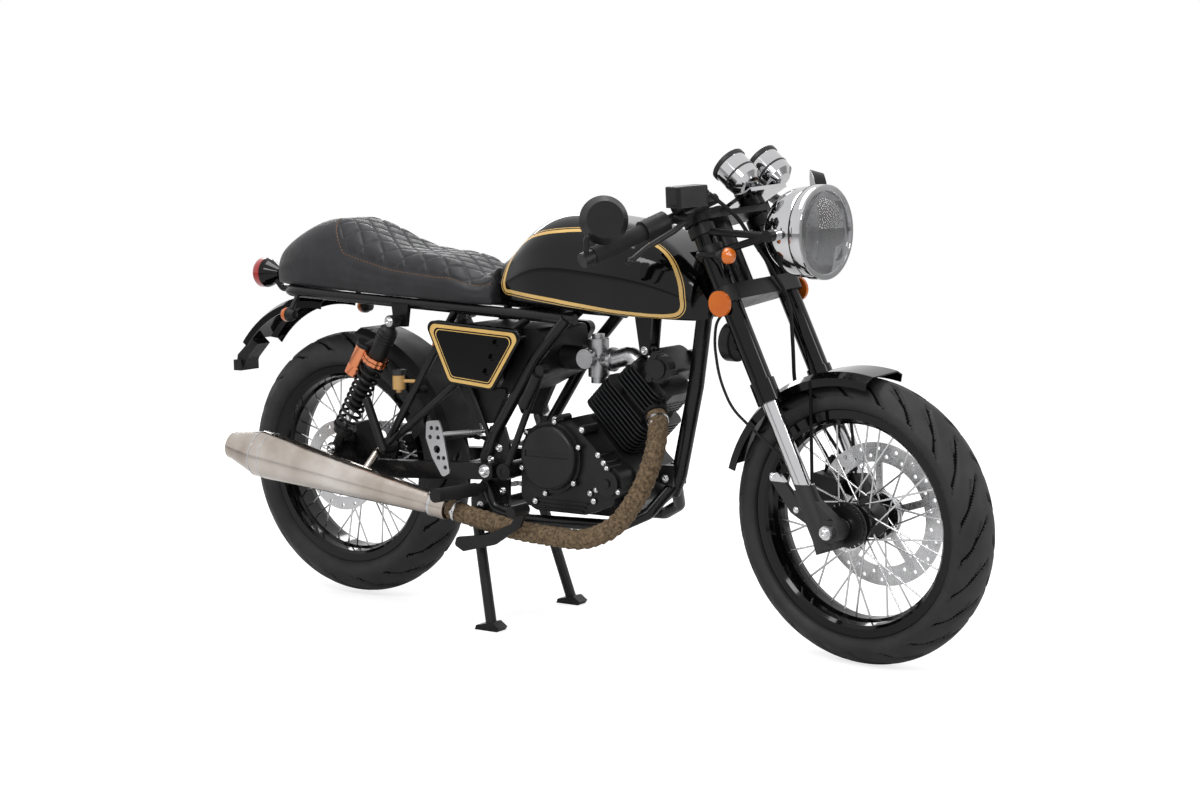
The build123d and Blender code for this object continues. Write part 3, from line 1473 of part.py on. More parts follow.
def build_controls():
    """Pegs, pedals, kick-starter, heel guards, horn, rear caliper and reservoir."""
    y = rear_tube_half_spacing - 2
    tube_side = rear_tube_half_spacing + frame_tube_radius + seat_gap
    pegs = []
    for side in (1, -1):
        with BuildPart() as peg:
            add(rod((peg_x, side * tube_side, peg_z), (peg_x, side * (peg_inner_y + 10), peg_z), 10))
            peg_tip = Vector(peg_x - 3, side * peg_outer_y, peg_z + 6)
            add(rod((peg_x, side * peg_inner_y, peg_z), peg_tip, peg_radius))
        pegs.append(peg.part)
    keep(Compound(children=pegs), "rider_pegs")

    folded = []
    for side in (1, -1):
        hinge = Vector(200, side * (strut_foot_y + 5 + seat_gap), 373)
        with BuildPart() as peg:
            add(rod(hinge, (hinge.X, side * 158, hinge.Z), 7))
            add(rod((204, side * 158, 374), (158, side * 160, 490), 10))
        folded.append(peg.part)
    keep(Compound(children=folded), "passenger_pegs")

    cup = Vector(221, -120, 510)
    with BuildPart() as fluid_cup:
        add(rod(cup, cup + Vector(0, 0, 34), 14))
        add(rod(cup + Vector(0, 0, 33), cup + Vector(0, 0, 44), 16))
        add(rod(cup - Vector(0, 0, 7), cup + Vector(0, 0, 1), 6))
        add(rod(cup + Vector(0, 0, 19), (265, -110, 529), 4))
        add(rod(rail_point(374, -1), (172, -strut_foot_y, 374), 9 + seat_gap), mode=Mode.SUBTRACT)
    keep(fluid_cup.part, "brake_fluid_cup")

    with BuildPart() as pedal:
        add(
            side_slab(
                [
                    (458, 214),
                    (452, 196),
                    (476, 184),
                    (560, 206),
                    (628, 250),
                    (648, 290),
                    (630, 296),
                    (606, 256),
                    (540, 226),
                ],
                -1,
                217,
                225,
                7,
            )
        )
        add(rod((470, -y - seat_gap, 203), (470, -217, 203), 7))
        add(rod((640, -219, 290), (640, -272, 290), 12))
    keep(pedal.part, "brake_pedal")

    with BuildPart() as gear:
        face = cover_half_width - 14 + seat_gap
        add(rod((700, face, 306), (700, 146, 306), 12))
        add(side_slab([(712, 312), (704, 294), (652, 274), (644, 288)], 1, 134, 142))
        add(rod((650, 136, 282), (650, 206, 282), 11))
    keep(gear.part, "gear_lever")

    kick_shaft = Vector(kick_shaft_x, 0, kick_shaft_z)
    with BuildPart() as kick:
        hub_start = kick_shaft - Vector(0, cover_half_width + 2 + seat_gap, 0)
        add(rod(hub_start, kick_shaft - Vector(0, 160, 0), 18))
        add(pipe([kick_shaft - Vector(0, 150, 0), (580, -153, 440), (650, -163, 578)], 7.5, 40))
        add(rod((650, -152, 578), (650, -174, 578), 11))
        add(rod((600, -166, 498), (640, -168, 566), 12))
        bore = rod(kick_shaft - Vector(0, 120, 0), kick_shaft - Vector(0, 170, 0), 8 + fit_gap)
        add(bore, mode=Mode.SUBTRACT)
    keep(kick.part, "kick_starter")

    guards = []
    for side in (1, -1):
        with BuildPart() as guard:
            outline = [(362, 456), (398, 460), (410, 420), (424, 348), (404, 336), (376, 378), (360, 420)]
            add(side_slab(outline, side, 196, 200, 7))
            with BuildSketch(Plane(origin=(390, side * 200, 396), x_dir=(1, 0, 0), z_dir=(0, side, 0))):
                Circle(9)
                with Locations((-14, 46), (2, 46), (-18, 26), (4, 26), (18, -18), (4, -18), (22, -38)):
                    Circle(5)
            extrude(amount=-10, mode=Mode.SUBTRACT)
            add(rod((404, side * 197, 430), (453, side * (rear_tube_half_spacing + 7 + seat_gap), 430), 5))
        guards.append(guard.part)
    keep(Compound(children=guards), "heel_guards")

    with BuildPart() as horn:
        centre = Vector(wheelbase - 258, -62, 648)
        add(rod(centre - Vector(10, 0, 0), centre + Vector(12, 0, 0), 40))
        lower_face = on_steering_axis(lower_yoke_z) - steer_up * (lower_yoke_thickness / 2 + seat_gap)
        top = lower_face + Vector(0, -40, 0) + steer_forward * 10
        add(rod(centre + Vector(-2, 8, 20), top + steer_up * 12, 6))
        add(make_yoke(lower_yoke_z, lower_yoke_thickness + 2 * seat_gap), mode=Mode.SUBTRACT)
    keep(horn.part, "horn", True)

    with BuildPart() as caliper:
        add(make_caliper(rear_axle, -rear_disc_y, rear_disc_radius - 22, 40.0, -1))
        add(rod((56, -88, 364), (56, -arm_half_spacing + 5 + seat_gap, 364), 10))
    keep(caliper.part, "rear_brake_caliper")


def build_chain():
    """The drive chain round both sprockets: a core of inner links with outer plates on every second link."""
    front = Vector(front_sprocket_x, 0, front_sprocket_z)
    gap = front - rear_axle
    lean = math.atan2(gap.Z, gap.X)
    open_angle = math.acos((rear_sprocket_radius - front_sprocket_radius) / gap.length)
    run = gap.length * math.sin(open_angle)
    rear_wrap = 2 * (math.pi - open_angle) * rear_sprocket_radius
    front_wrap = 2 * open_angle * front_sprocket_radius
    link_count = 2 * round((2 * run + rear_wrap + front_wrap) / (2 * chain_pitch))
    pitch = (2 * run + rear_wrap + front_wrap) / link_count

    def way(angle):
        return Vector(math.cos(angle), 0, math.sin(angle))

    def on_chain(distance):
        """A point of the chain's centre line, counted from the top of the rear sprocket."""
        distance = distance % (2 * run + rear_wrap + front_wrap)
        if distance < run:
            angle = lean + open_angle
            return rear_axle + way(angle) * rear_sprocket_radius + way(angle - math.pi / 2) * distance
        distance -= run
        if distance < front_wrap:
            return front + way(lean + open_angle - distance / front_sprocket_radius) * front_sprocket_radius
        distance -= front_wrap
        if distance < run:
            angle = lean - open_angle
            return front + way(angle) * front_sprocket_radius + way(angle - math.pi / 2) * distance
        distance -= run
        return rear_axle + way(lean - open_angle - distance / rear_sprocket_radius) * rear_sprocket_radius

    with BuildPart() as chain:
        with BuildSketch(Plane.XZ.offset(-chain_y)):
            for grow, mode in ((roller_radius, Mode.ADD), (-roller_radius, Mode.SUBTRACT)):
                corners = []
                for angle in (lean + open_angle, lean - open_angle):
                    corners.append(rear_axle + way(angle) * (rear_sprocket_radius + grow))
                    corners.append(front + way(angle) * (front_sprocket_radius + grow))
                nose = front + way(lean) * (front_sprocket_radius + grow)
                back = rear_axle - way(lean) * (rear_sprocket_radius + grow)
                rear_up, front_up, rear_low, front_low = [(p.X, p.Z) for p in corners]
                with BuildLine():
                    Line(rear_up, front_up)
                    ThreePointArc(front_up, (nose.X, nose.Z), front_low)
                    Line(front_low, rear_low)
                    ThreePointArc(rear_low, (back.X, back.Z), rear_up)
                make_face(mode=mode)
        extrude(amount=chain_half_width - 2, both=True)
        for y in (chain_y - chain_half_width, chain_y + chain_half_width - 2.2):
            with BuildSketch(Plane.XZ.offset(-y - 2.2)):
                for k in range(0, link_count, 2):
                    start, end = on_chain(pitch * k), on_chain(pitch * (k + 1))
                    along = (end - start).normalized()
                    up = Vector(-along.Z, 0, along.X)
                    corners = [
                        start - along * 4 + up * 3,
                        start + up * chain_half_height,
                        end + up * chain_half_height,
                        end + along * 4 + up * 3,
                        end + along * 4 - up * 3,
                        end - up * chain_half_height,
                        start - up * chain_half_height,
                        start - along * 4 - up * 3,
                    ]
                    with BuildLine():
                        Polyline(*[(c.X, c.Z) for c in corners], close=True)
                    make_face()
            extrude(amount=2.2)
    keep(chain.part, "drive_chain")


def build_front_cables():
    """The front brake hose and the wheel sensor cable, each held at both ends."""
    cables = []
    for route, radius in ((hose_route, hose_radius), (cable_route, cable_radius)):
        points = [(wheelbase - back, y, z) for back, y, z in route]
        cables.append(pipe(points, radius, smooth_radii(points)))
    keep(Compound(children=cables), "front_cables", True)


def build_centre_stand():
    """The centre stand on which the bike is parked."""
    pivot = Vector(stand_pivot_x, 0, stand_pivot_z)
    plate_inner = rear_tube_half_spacing - 10
    leg_y = rear_tube_half_spacing + 14
    with BuildPart() as stand:
        add(rod(pivot + Vector(0, -leg_y - 12, 0), pivot + Vector(0, leg_y + 12, 0), 8))
        add(rod(pivot + Vector(0, 0.5 - plate_inner, 0), pivot + Vector(0, plate_inner - 0.5, 0), 13))
        for side in (1, -1):
            foot_x = stand_pivot_x + stand_foot_reach
            foot = Vector(foot_x, side * stand_foot_half_spacing, 8)
            add(rod(pivot + Vector(0, side * leg_y, 0), foot, stand_tube_radius))
            add(
                side_slab(
                    [
                        (foot_x - 34, 0),
                        (foot_x + 26, 0),
                        (foot_x + 32, 8),
                        (foot_x + 14, 20),
                        (foot_x - 30, 10),
                    ],
                    side,
                    stand_foot_half_spacing - 15,
                    stand_foot_half_spacing + 17,
                )
            )
        with BuildSketch(Plane.XY.offset(-40)):
            Rectangle(3000, 1000)
        extrude(amount=40, mode=Mode.SUBTRACT)
    keep(stand.part, "centre_stand")


if __name__ == "__main__":
    os.makedirs("parts", exist_ok=True)
    build_wheels()
    build_fork()
    build_handlebars()
    build_front_fittings()
    build_frame()
    build_rear_suspension()
    build_crankcase()
    build_cylinder()
    build_muffler()
    build_bodywork()
    build_rear_end()
    build_controls()
    build_chain()
    build_front_cables()
    build_centre_stand()
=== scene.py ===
"""Looks of the cafe racer motorcycle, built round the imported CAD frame. All lengths are in metres."""
import json
import math

import bpy
import numpy as np
from mathutils import Matrix, Vector
from mathutils.bvhtree import BVHTree


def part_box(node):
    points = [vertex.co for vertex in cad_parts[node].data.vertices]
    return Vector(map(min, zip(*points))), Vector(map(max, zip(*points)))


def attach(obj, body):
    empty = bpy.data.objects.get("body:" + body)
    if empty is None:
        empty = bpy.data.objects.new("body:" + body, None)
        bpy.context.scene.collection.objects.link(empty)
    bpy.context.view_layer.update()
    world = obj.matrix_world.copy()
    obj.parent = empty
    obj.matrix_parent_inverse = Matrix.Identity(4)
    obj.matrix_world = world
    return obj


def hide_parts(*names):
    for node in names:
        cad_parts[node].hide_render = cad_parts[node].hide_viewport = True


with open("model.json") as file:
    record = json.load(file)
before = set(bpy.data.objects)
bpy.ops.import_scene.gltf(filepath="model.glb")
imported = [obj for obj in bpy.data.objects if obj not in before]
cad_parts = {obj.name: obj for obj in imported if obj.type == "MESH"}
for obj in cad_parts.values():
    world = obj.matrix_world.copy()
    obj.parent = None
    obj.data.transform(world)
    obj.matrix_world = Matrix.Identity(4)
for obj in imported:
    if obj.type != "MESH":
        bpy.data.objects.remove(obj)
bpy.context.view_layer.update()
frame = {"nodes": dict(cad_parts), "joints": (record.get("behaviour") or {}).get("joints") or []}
scene = bpy.context.scene
node_objects = frame["nodes"]

# Places are written as on a drawing: millimetres forward of the rear axle, to the left, and above the floor
origin_x = 618.5
wheelbase = 1320.0
parked_steer = math.radians(-7.0)
front_axle_mm = (wheelbase, 0.0, 293.0)
rear_axle_mm = (0.0, 0.0, 315.0)


def at(x, y, z):
    """A drawing place in millimetres as a point of the frame in metres."""
    return Vector(((x - origin_x) / 1000, y / 1000, z / 1000))


steering_joint = next(j for j in frame["joints"] if j["name"] == "steering_head")
steer_axis = Vector(steering_joint["axis"]).normalized()
steer_pos = Vector(steering_joint["pos_m"])
steer_turn = (
    Matrix.Translation(steer_pos)
    @ Matrix.Rotation(parked_steer, 4, steer_axis)
    @ Matrix.Translation(-steer_pos)
)
# Pieces of these bodies are drawn straight ahead and then turned by steer_turn
steered_bodies = ("steering", "front_wheel")


# Camera, measured on the photograph
camera_place_mm = (3211.8, -3679.7, 1050.3)
camera_yaw = 0.6020
camera_pitch = 0.1230
camera_roll = -0.0160
focal_pixels = 2082.5
photo_width = 1200.0


# Studio; lengths in metres
ambient_strength = 0.45
backdrop_strength = 1.0
floor_size = 60
floor_depth = 0.0005
floor_glow = 2.15
floor_glow_share = 0.35
lamps = (
    # name, place, target, width, height, power
    ("key", (1.2, -3.4, 3.2), (0, 0, 0.5), 2.6, 0.8, 75.0),
    ("top", (-0.4, 0.0, 3.6), (0, 0, 0.4), 3.6, 0.7, 65.0),
    ("front", (4.2, 0.6, 1.8), (0.4, 0, 0.6), 0.7, 2.0, 35.0),
    ("back", (-3.0, 3.0, 2.4), (0, 0, 0.5), 2.2, 0.7, 35.0),
)


def make_camera():
    """The camera at the photograph's place, with its lens."""
    level = math.cos(camera_pitch)
    look = Vector((-math.sin(camera_yaw) * level, math.cos(camera_yaw) * level, -math.sin(camera_pitch)))
    right = look.cross(Vector((0, 0, 1))).normalized()
    up = right.cross(look)
    right_rolled = right * math.cos(camera_roll) + up * math.sin(camera_roll)
    up_rolled = up * math.cos(camera_roll) - right * math.sin(camera_roll)
    data = bpy.data.cameras.new("camera")
    data.sensor_fit = "HORIZONTAL"
    data.sensor_width = 36.0
    data.lens = focal_pixels / photo_width * data.sensor_width
    data.clip_end = 100.0
    camera = bpy.data.objects.new("camera", data)
    turn = Matrix((right_rolled, up_rolled, -look)).transposed().to_4x4()
    camera.matrix_world = Matrix.Translation(at(*camera_place_mm)) @ turn
    scene.collection.objects.link(camera)
    scene.camera = camera


def make_studio():
    """A white world, soft lamps and a pale floor that keeps the shadow."""
    world = bpy.data.worlds.new("studio")
    scene.world = world
    world.use_nodes = True
    nodes, links = world.node_tree.nodes, world.node_tree.links
    nodes.clear()
    path = nodes.new("ShaderNodeLightPath")
    seen = path.outputs["Is Camera Ray"]
    for ray in ("Is Glossy Ray", "Is Transmission Ray"):
        either = nodes.new("ShaderNodeMath")
        either.operation = "MAXIMUM"
        links.new(seen, either.inputs[0])
        links.new(path.outputs[ray], either.inputs[1])
        seen = either.outputs[0]
    strength = nodes.new("ShaderNodeMapRange")
    strength.inputs["To Min"].default_value = ambient_strength
    strength.inputs["To Max"].default_value = backdrop_strength
    links.new(seen, strength.inputs["Value"])
    background = nodes.new("ShaderNodeBackground")
    background.inputs["Color"].default_value = (1, 1, 1, 1)
    links.new(strength.outputs["Result"], background.inputs["Strength"])
    output = nodes.new("ShaderNodeOutputWorld")
    links.new(background.outputs[0], output.inputs["Surface"])

    for name, place, target, width, height, power in lamps:
        data = bpy.data.lights.new(name, "AREA")
        data.shape = "RECTANGLE"
        data.size = width
        data.size_y = height
        data.energy = power
        lamp = bpy.data.objects.new(name, data)
        lamp.location = place
        lamp.rotation_euler = (Vector(target) - Vector(place)).to_track_quat("-Z", "Y").to_euler()
        scene.collection.objects.link(lamp)

    bpy.ops.mesh.primitive_plane_add(size=floor_size)
    floor = bpy.context.object
    floor.name = "floor"
    floor.location.z = -floor_depth
    paint = bpy.data.materials.new("floor_paint")
    paint.use_nodes = True
    nodes, links = paint.node_tree.nodes, paint.node_tree.links
    nodes.clear()
    path = nodes.new("ShaderNodeLightPath")
    diffuse = nodes.new("ShaderNodeBsdfDiffuse")
    diffuse.inputs["Color"].default_value = (0.86, 0.86, 0.86, 1)
    glow = nodes.new("ShaderNodeEmission")
    glow.inputs["Strength"].default_value = floor_glow
    share = nodes.new("ShaderNodeMath")
    share.operation = "MULTIPLY"
    share.inputs[1].default_value = floor_glow_share
    links.new(path.outputs["Is Camera Ray"], share.inputs[0])
    mix = nodes.new("ShaderNodeMixShader")
    links.new(share.outputs[0], mix.inputs["Fac"])
    links.new(diffuse.outputs[0], mix.inputs[1])
    links.new(glow.outputs[0], mix.inputs[2])
    output = nodes.new("ShaderNodeOutputMaterial")
    links.new(mix.outputs[0], output.inputs["Surface"])
    floor.data.materials.append(paint)
    scene.view_settings.view_transform = "Standard"


make_camera()
make_studio()


# Materials; noise patterns run between these values for the most part
pattern_low, pattern_high = 0.3, 0.7


def new_material(name, color, rough, metal=0.0, **extra):
    """A principled material; extra names are shader sockets with spaces as underscores."""
    material = bpy.data.materials.new(name)
    material.use_nodes = True
    shader = material.node_tree.nodes["Principled BSDF"]
    shader.inputs["Base Color"].default_value = (*color, 1)
    shader.inputs["Roughness"].default_value = rough
    shader.inputs["Metallic"].default_value = metal
    for key, value in extra.items():
        shader.inputs[key.replace("_", " ")].default_value = value
    return material


def object_coordinates(material, stretch=(1, 1, 1)):
    """Object coordinates through a mapping that stretches the pattern."""
    nodes, links = material.node_tree.nodes, material.node_tree.links
    coordinates = nodes.new("ShaderNodeTexCoord")
    mapping = nodes.new("ShaderNodeMapping")
    mapping.inputs["Scale"].default_value = stretch
    links.new(coordinates.outputs["Object"], mapping.inputs["Vector"])
    return mapping.outputs["Vector"]


def noise(material, scale, detail=3.0, stretch=(1, 1, 1)):
    """A noise texture in object coordinates."""
    node = material.node_tree.nodes.new("ShaderNodeTexNoise")
    node.inputs["Scale"].default_value = scale
    node.inputs["Detail"].default_value = detail
    material.node_tree.links.new(object_coordinates(material, stretch), node.inputs["Vector"])
    return node.outputs["Fac"]


def vary(material, source, socket, low, high, start=pattern_low, end=pattern_high):
    """Lets a pattern that runs from start to end drive a number of the shader between two values."""
    nodes, links = material.node_tree.nodes, material.node_tree.links
    spread = nodes.new("ShaderNodeMapRange")
    spread.inputs["From Min"].default_value = start
    spread.inputs["From Max"].default_value = end
    spread.inputs["To Min"].default_value = low
    spread.inputs["To Max"].default_value = high
    links.new(source, spread.inputs["Value"])
    links.new(spread.outputs["Result"], nodes["Principled BSDF"].inputs[socket])


def tint(material, source, dark, light):
    """Lets a 0 to 1 pattern run the base colour between two colours."""
    nodes, links = material.node_tree.nodes, material.node_tree.links
    ramp = nodes.new("ShaderNodeValToRGB")
    ramp.color_ramp.elements[0].position = pattern_low
    ramp.color_ramp.elements[1].position = pattern_high
    ramp.color_ramp.elements[0].color = (*dark, 1)
    ramp.color_ramp.elements[1].color = (*light, 1)
    links.new(source, ramp.inputs["Fac"])
    links.new(ramp.outputs["Color"], nodes["Principled BSDF"].inputs["Base Color"])


def bump(material, source, strength, distance=0.0004):
    """Adds a height pattern to the surface."""
    nodes, links = material.node_tree.nodes, material.node_tree.links
    shader = nodes["Principled BSDF"]
    node = nodes.new("ShaderNodeBump")
    node.inputs["Strength"].default_value = strength
    node.inputs["Distance"].default_value = distance
    links.new(source, node.inputs["Height"])
    if shader.inputs["Normal"].is_linked:
        links.new(shader.inputs["Normal"].links[0].from_socket, node.inputs["Normal"])
    links.new(node.outputs["Normal"], shader.inputs["Normal"])


def painted(
    name, color, light, rough, spread, coat=0.0, grain=0.0, grain_scale=900.0, specular=0.35, cloud=14.0
):
    """Paint with slightly uneven colour and gloss, and a cast or powdered grain where it has one."""
    material = new_material(
        name, color, rough, Coat_Weight=coat, Coat_Roughness=0.04, Specular_IOR_Level=specular
    )
    tint(material, noise(material, cloud), color, light)
    vary(material, noise(material, 30.0), "Roughness", rough - spread, rough + spread)
    if grain:
        bump(material, noise(material, grain_scale, 2.0), grain)
    return material


def metal(name, color, light, rough, spread, stretch=(1, 1, 1), scale=60.0, grain=0.08):
    """Bare or plated metal with fine, possibly brushed, marks."""
    material = new_material(name, color, rough, 1.0)
    marks = noise(material, scale, 4.0, stretch)
    tint(material, noise(material, 9.0), color, light)
    vary(material, marks, "Roughness", max(rough - spread, 0.02), rough + spread)
    bump(material, marks, grain, 0.0002)
    return material


def leather(name, dark, light):
    """Soft charcoal leather with a fine pebbled grain."""
    material = new_material(
        name, dark, 0.46, Sheen_Weight=0.06, Sheen_Roughness=0.5, Specular_IOR_Level=0.32
    )
    tint(material, noise(material, 22.0, 5.0), dark, light)
    vary(material, noise(material, 60.0), "Roughness", 0.44, 0.58)
    nodes, links = material.node_tree.nodes, material.node_tree.links
    cells = nodes.new("ShaderNodeTexVoronoi")
    cells.inputs["Scale"].default_value = 520.0
    links.new(object_coordinates(material), cells.inputs["Vector"])
    bump(material, cells.outputs["Distance"], 0.35, 0.0005)
    bump(material, noise(material, 160.0, 4.0), 0.2, 0.0006)
    return material


def past(material, source, level):
    """A pattern that is 1 where a number is over a level, and 0 elsewhere."""
    over = material.node_tree.nodes.new("ShaderNodeMath")
    over.operation = "GREATER_THAN"
    over.inputs[1].default_value = level
    material.node_tree.links.new(source, over.inputs[0])
    return over.outputs[0]


def two_finishes(material, where, first, second, grain_scale):
    """Gives the second finish where the pattern is 1; a finish is colour, roughness and metal share."""
    tint(material, where, first[0], second[0])
    for socket, low, high in zip(("Roughness", "Metallic"), first[1:], second[1:]):
        vary(material, where, socket, low, high, 0.0, 1.0)
    bump(material, noise(material, grain_scale, 4.0), 0.06)
    return material


def split_material(name, level, first, second):
    """Two finishes on one piece, the second one above a height in metres."""
    material = new_material(name, *first)
    parts = material.node_tree.nodes.new("ShaderNodeSeparateXYZ")
    material.node_tree.links.new(object_coordinates(material), parts.inputs[0])
    above = past(material, parts.outputs["Z"], level)
    return two_finishes(material, above, first, second, 120.0)


hub_finish = (0.006, 0.006, 0.0065), 0.34, 0.0
spoke_finish = (0.62, 0.62, 0.63), 0.22, 1.0


def hub_material(name, centre, radius):
    """Black hub inside a radius from the axle, bright spokes outside it; places in metres of the frame."""
    material = new_material(name, *hub_finish)
    away = material.node_tree.nodes.new("ShaderNodeVectorMath")
    away.operation = "DISTANCE"
    away.inputs[1].default_value = (centre.x, 0.0, centre.z)
    material.node_tree.links.new(object_coordinates(material, (1, 0, 1)), away.inputs[0])
    outside = past(material, away.outputs["Value"], radius)
    return two_finishes(material, outside, hub_finish, spoke_finish, 200.0)


gloss_black = painted(
    "gloss_black", (0.0012, 0.0012, 0.0014), (0.0022, 0.0022, 0.0026), 0.09, 0.02, coat=0.14, specular=0.2
)
frame_black = painted(
    "frame_black", (0.0035, 0.0035, 0.004), (0.007, 0.007, 0.0075), 0.28, 0.05,
    coat=0.12, grain=0.04, specular=0.25,
)
engine_black = painted(
    "engine_black", (0.006, 0.006, 0.0065), (0.013, 0.013, 0.014), 0.36, 0.07, grain=0.25, specular=0.28
)
satin_black = painted(
    "satin_black", (0.005, 0.005, 0.005), (0.01, 0.01, 0.0105), 0.38, 0.06, grain=0.12, specular=0.25
)
plastic_black = painted(
    "plastic_black", (0.006, 0.006, 0.0065), (0.011, 0.011, 0.011), 0.5, 0.06,
    grain=0.2, grain_scale=1600.0, specular=0.25,
)
rubber_black = painted(
    "rubber_black", (0.007, 0.007, 0.007), (0.014, 0.014, 0.014), 0.72, 0.06,
    grain=0.3, grain_scale=700.0, specular=0.25,
)
tyre_black = painted(
    "tyre_black", (0.015, 0.015, 0.0155), (0.027, 0.027, 0.028), 0.58, 0.07,
    grain=0.25, grain_scale=500.0, specular=0.3,
)
# Painted shade: a nearly black, dull finish for the tyre's groove floors, so the grooves read dark as if
# shaded; the rubber there is the same as on the tread
painted_groove_shade = painted(
    "painted_groove_shade", (0.002, 0.002, 0.002), (0.004, 0.004, 0.004), 0.95, 0.03, specular=0.05
)
chrome = metal("chrome", (0.5, 0.5, 0.51), (0.6, 0.6, 0.61), 0.06, 0.02, grain=0.02)
mirror_chrome = metal("mirror_chrome", (0.88, 0.88, 0.89), (0.93, 0.93, 0.94), 0.07, 0.02, grain=0.02)
alloy = metal("alloy", (0.36, 0.36, 0.37), (0.5, 0.5, 0.51), 0.32, 0.08, scale=240.0)
steel = metal("steel", (0.48, 0.48, 0.49), (0.62, 0.62, 0.63), 0.28, 0.08, scale=200.0)
dark_steel = metal("dark_steel", (0.2, 0.2, 0.21), (0.32, 0.32, 0.33), 0.36, 0.1, scale=200.0)
stainless = metal(
    "stainless", (0.4, 0.345, 0.3), (0.66, 0.62, 0.58), 0.2, 0.07, stretch=(0.04, 1, 1), scale=260.0
)
copper = metal("copper", (0.62, 0.2, 0.09), (0.78, 0.3, 0.15), 0.2, 0.05)
gold_paint = painted("gold_paint", (0.62, 0.38, 0.1), (0.72, 0.47, 0.15), 0.35, 0.05, coat=0.6)
amber = painted("amber_plastic", (0.52, 0.1, 0.004), (0.64, 0.15, 0.007), 0.18, 0.04, coat=0.4)
wrap_cloth = painted(
    "wrap_cloth", (0.05, 0.033, 0.018), (0.21, 0.145, 0.085), 0.9, 0.05,
    grain=0.9, grain_scale=520.0, cloud=150.0,
)
seat_leather = leather("seat_leather", (0.011, 0.011, 0.0125), (0.02, 0.02, 0.0235))
glass = new_material("lens_glass", (0.95, 0.97, 1.0), 0.02, Transmission_Weight=1.0, IOR=1.3, Alpha=0.14)
bump(glass, noise(glass, 40.0), 0.05)

front_hub = hub_material("front_hub_finish", at(1319.6, 0, 293), 0.047)
rear_hub = hub_material("rear_hub_finish", at(0, 0, 315), 0.054)
thread_brown = painted("thread_brown", (0.16, 0.075, 0.03), (0.26, 0.13, 0.06), 0.8, 0.05, grain=0.4)
red_lens = painted("red_lens", (0.32, 0.005, 0.004), (0.42, 0.01, 0.008), 0.15, 0.04, coat=0.6)
white_print = painted("white_print", (0.75, 0.75, 0.74), (0.85, 0.85, 0.84), 0.45, 0.05)
dial_black = painted("dial_black", (0.008, 0.008, 0.009), (0.014, 0.014, 0.015), 0.4, 0.04)
bolt_steel = metal("bolt_steel", (0.55, 0.55, 0.56), (0.75, 0.75, 0.76), 0.22, 0.08, scale=300.0)
fork_finish = split_material(
    "fork_finish", 0.374, ((0.006, 0.006, 0.0065), 0.38, 0.0), ((0.55, 0.55, 0.56), 0.1, 1.0)
)
fluid_cup = split_material(
    "fluid_cup_finish", 0.5415, ((0.55, 0.33, 0.12), 0.22, 0.0), ((0.012, 0.012, 0.012), 0.45, 0.0)
)

# Finishes of the nodes; every other node is satin black
node_finishes = (
    (gloss_black, "fuel_tank side_covers fork_tubes tail_light"),
    (gloss_black, "front_fender rear_fender front_rim rear_rim"),
    (frame_black, "main_frame swingarm centre_stand"),
    (plastic_black, "number_plate_carrier airbox inner_mudguard switch_housings"),
    (rubber_black, "rider_pegs hand_grips front_cables"),
    (engine_black, "engine_crankcase cylinder_barrel cylinder_head"),
    (alloy, "carburettor heel_guards"),
    (steel, "front_axle rear_axle front_brake_disc rear_brake_disc"),
    (dark_steel, "rear_sprocket drive_chain"),
    (chrome, "headlight_shell instruments filler_cap"),
    (tyre_black, "front_tyre rear_tyre"),
    (front_hub, "front_hub_and_spokes"),
    (rear_hub, "rear_hub_and_spokes"),
    (fork_finish, "fork_sliders"),
    (wrap_cloth, "exhaust_header"),
    (stainless, "muffler"),
    (seat_leather, "seat"),
    (amber, "front_reflectors"),
    (glass, "headlight_lens"),
    (fluid_cup, "brake_fluid_cup"),
)
finish_of = {name: finish for finish, names in node_finishes for name in names.split()}
for node_name, node in node_objects.items():
    node.data.materials.clear()
    node.data.materials.append(finish_of.get(node_name, satin_black))


# Mesh building
def around(side, other, angle):
    """The direction at an angle from side towards other."""
    return side * math.cos(angle) + other * math.sin(angle)


# Turned shapes end in a point this wide
least_radius = 0.00005


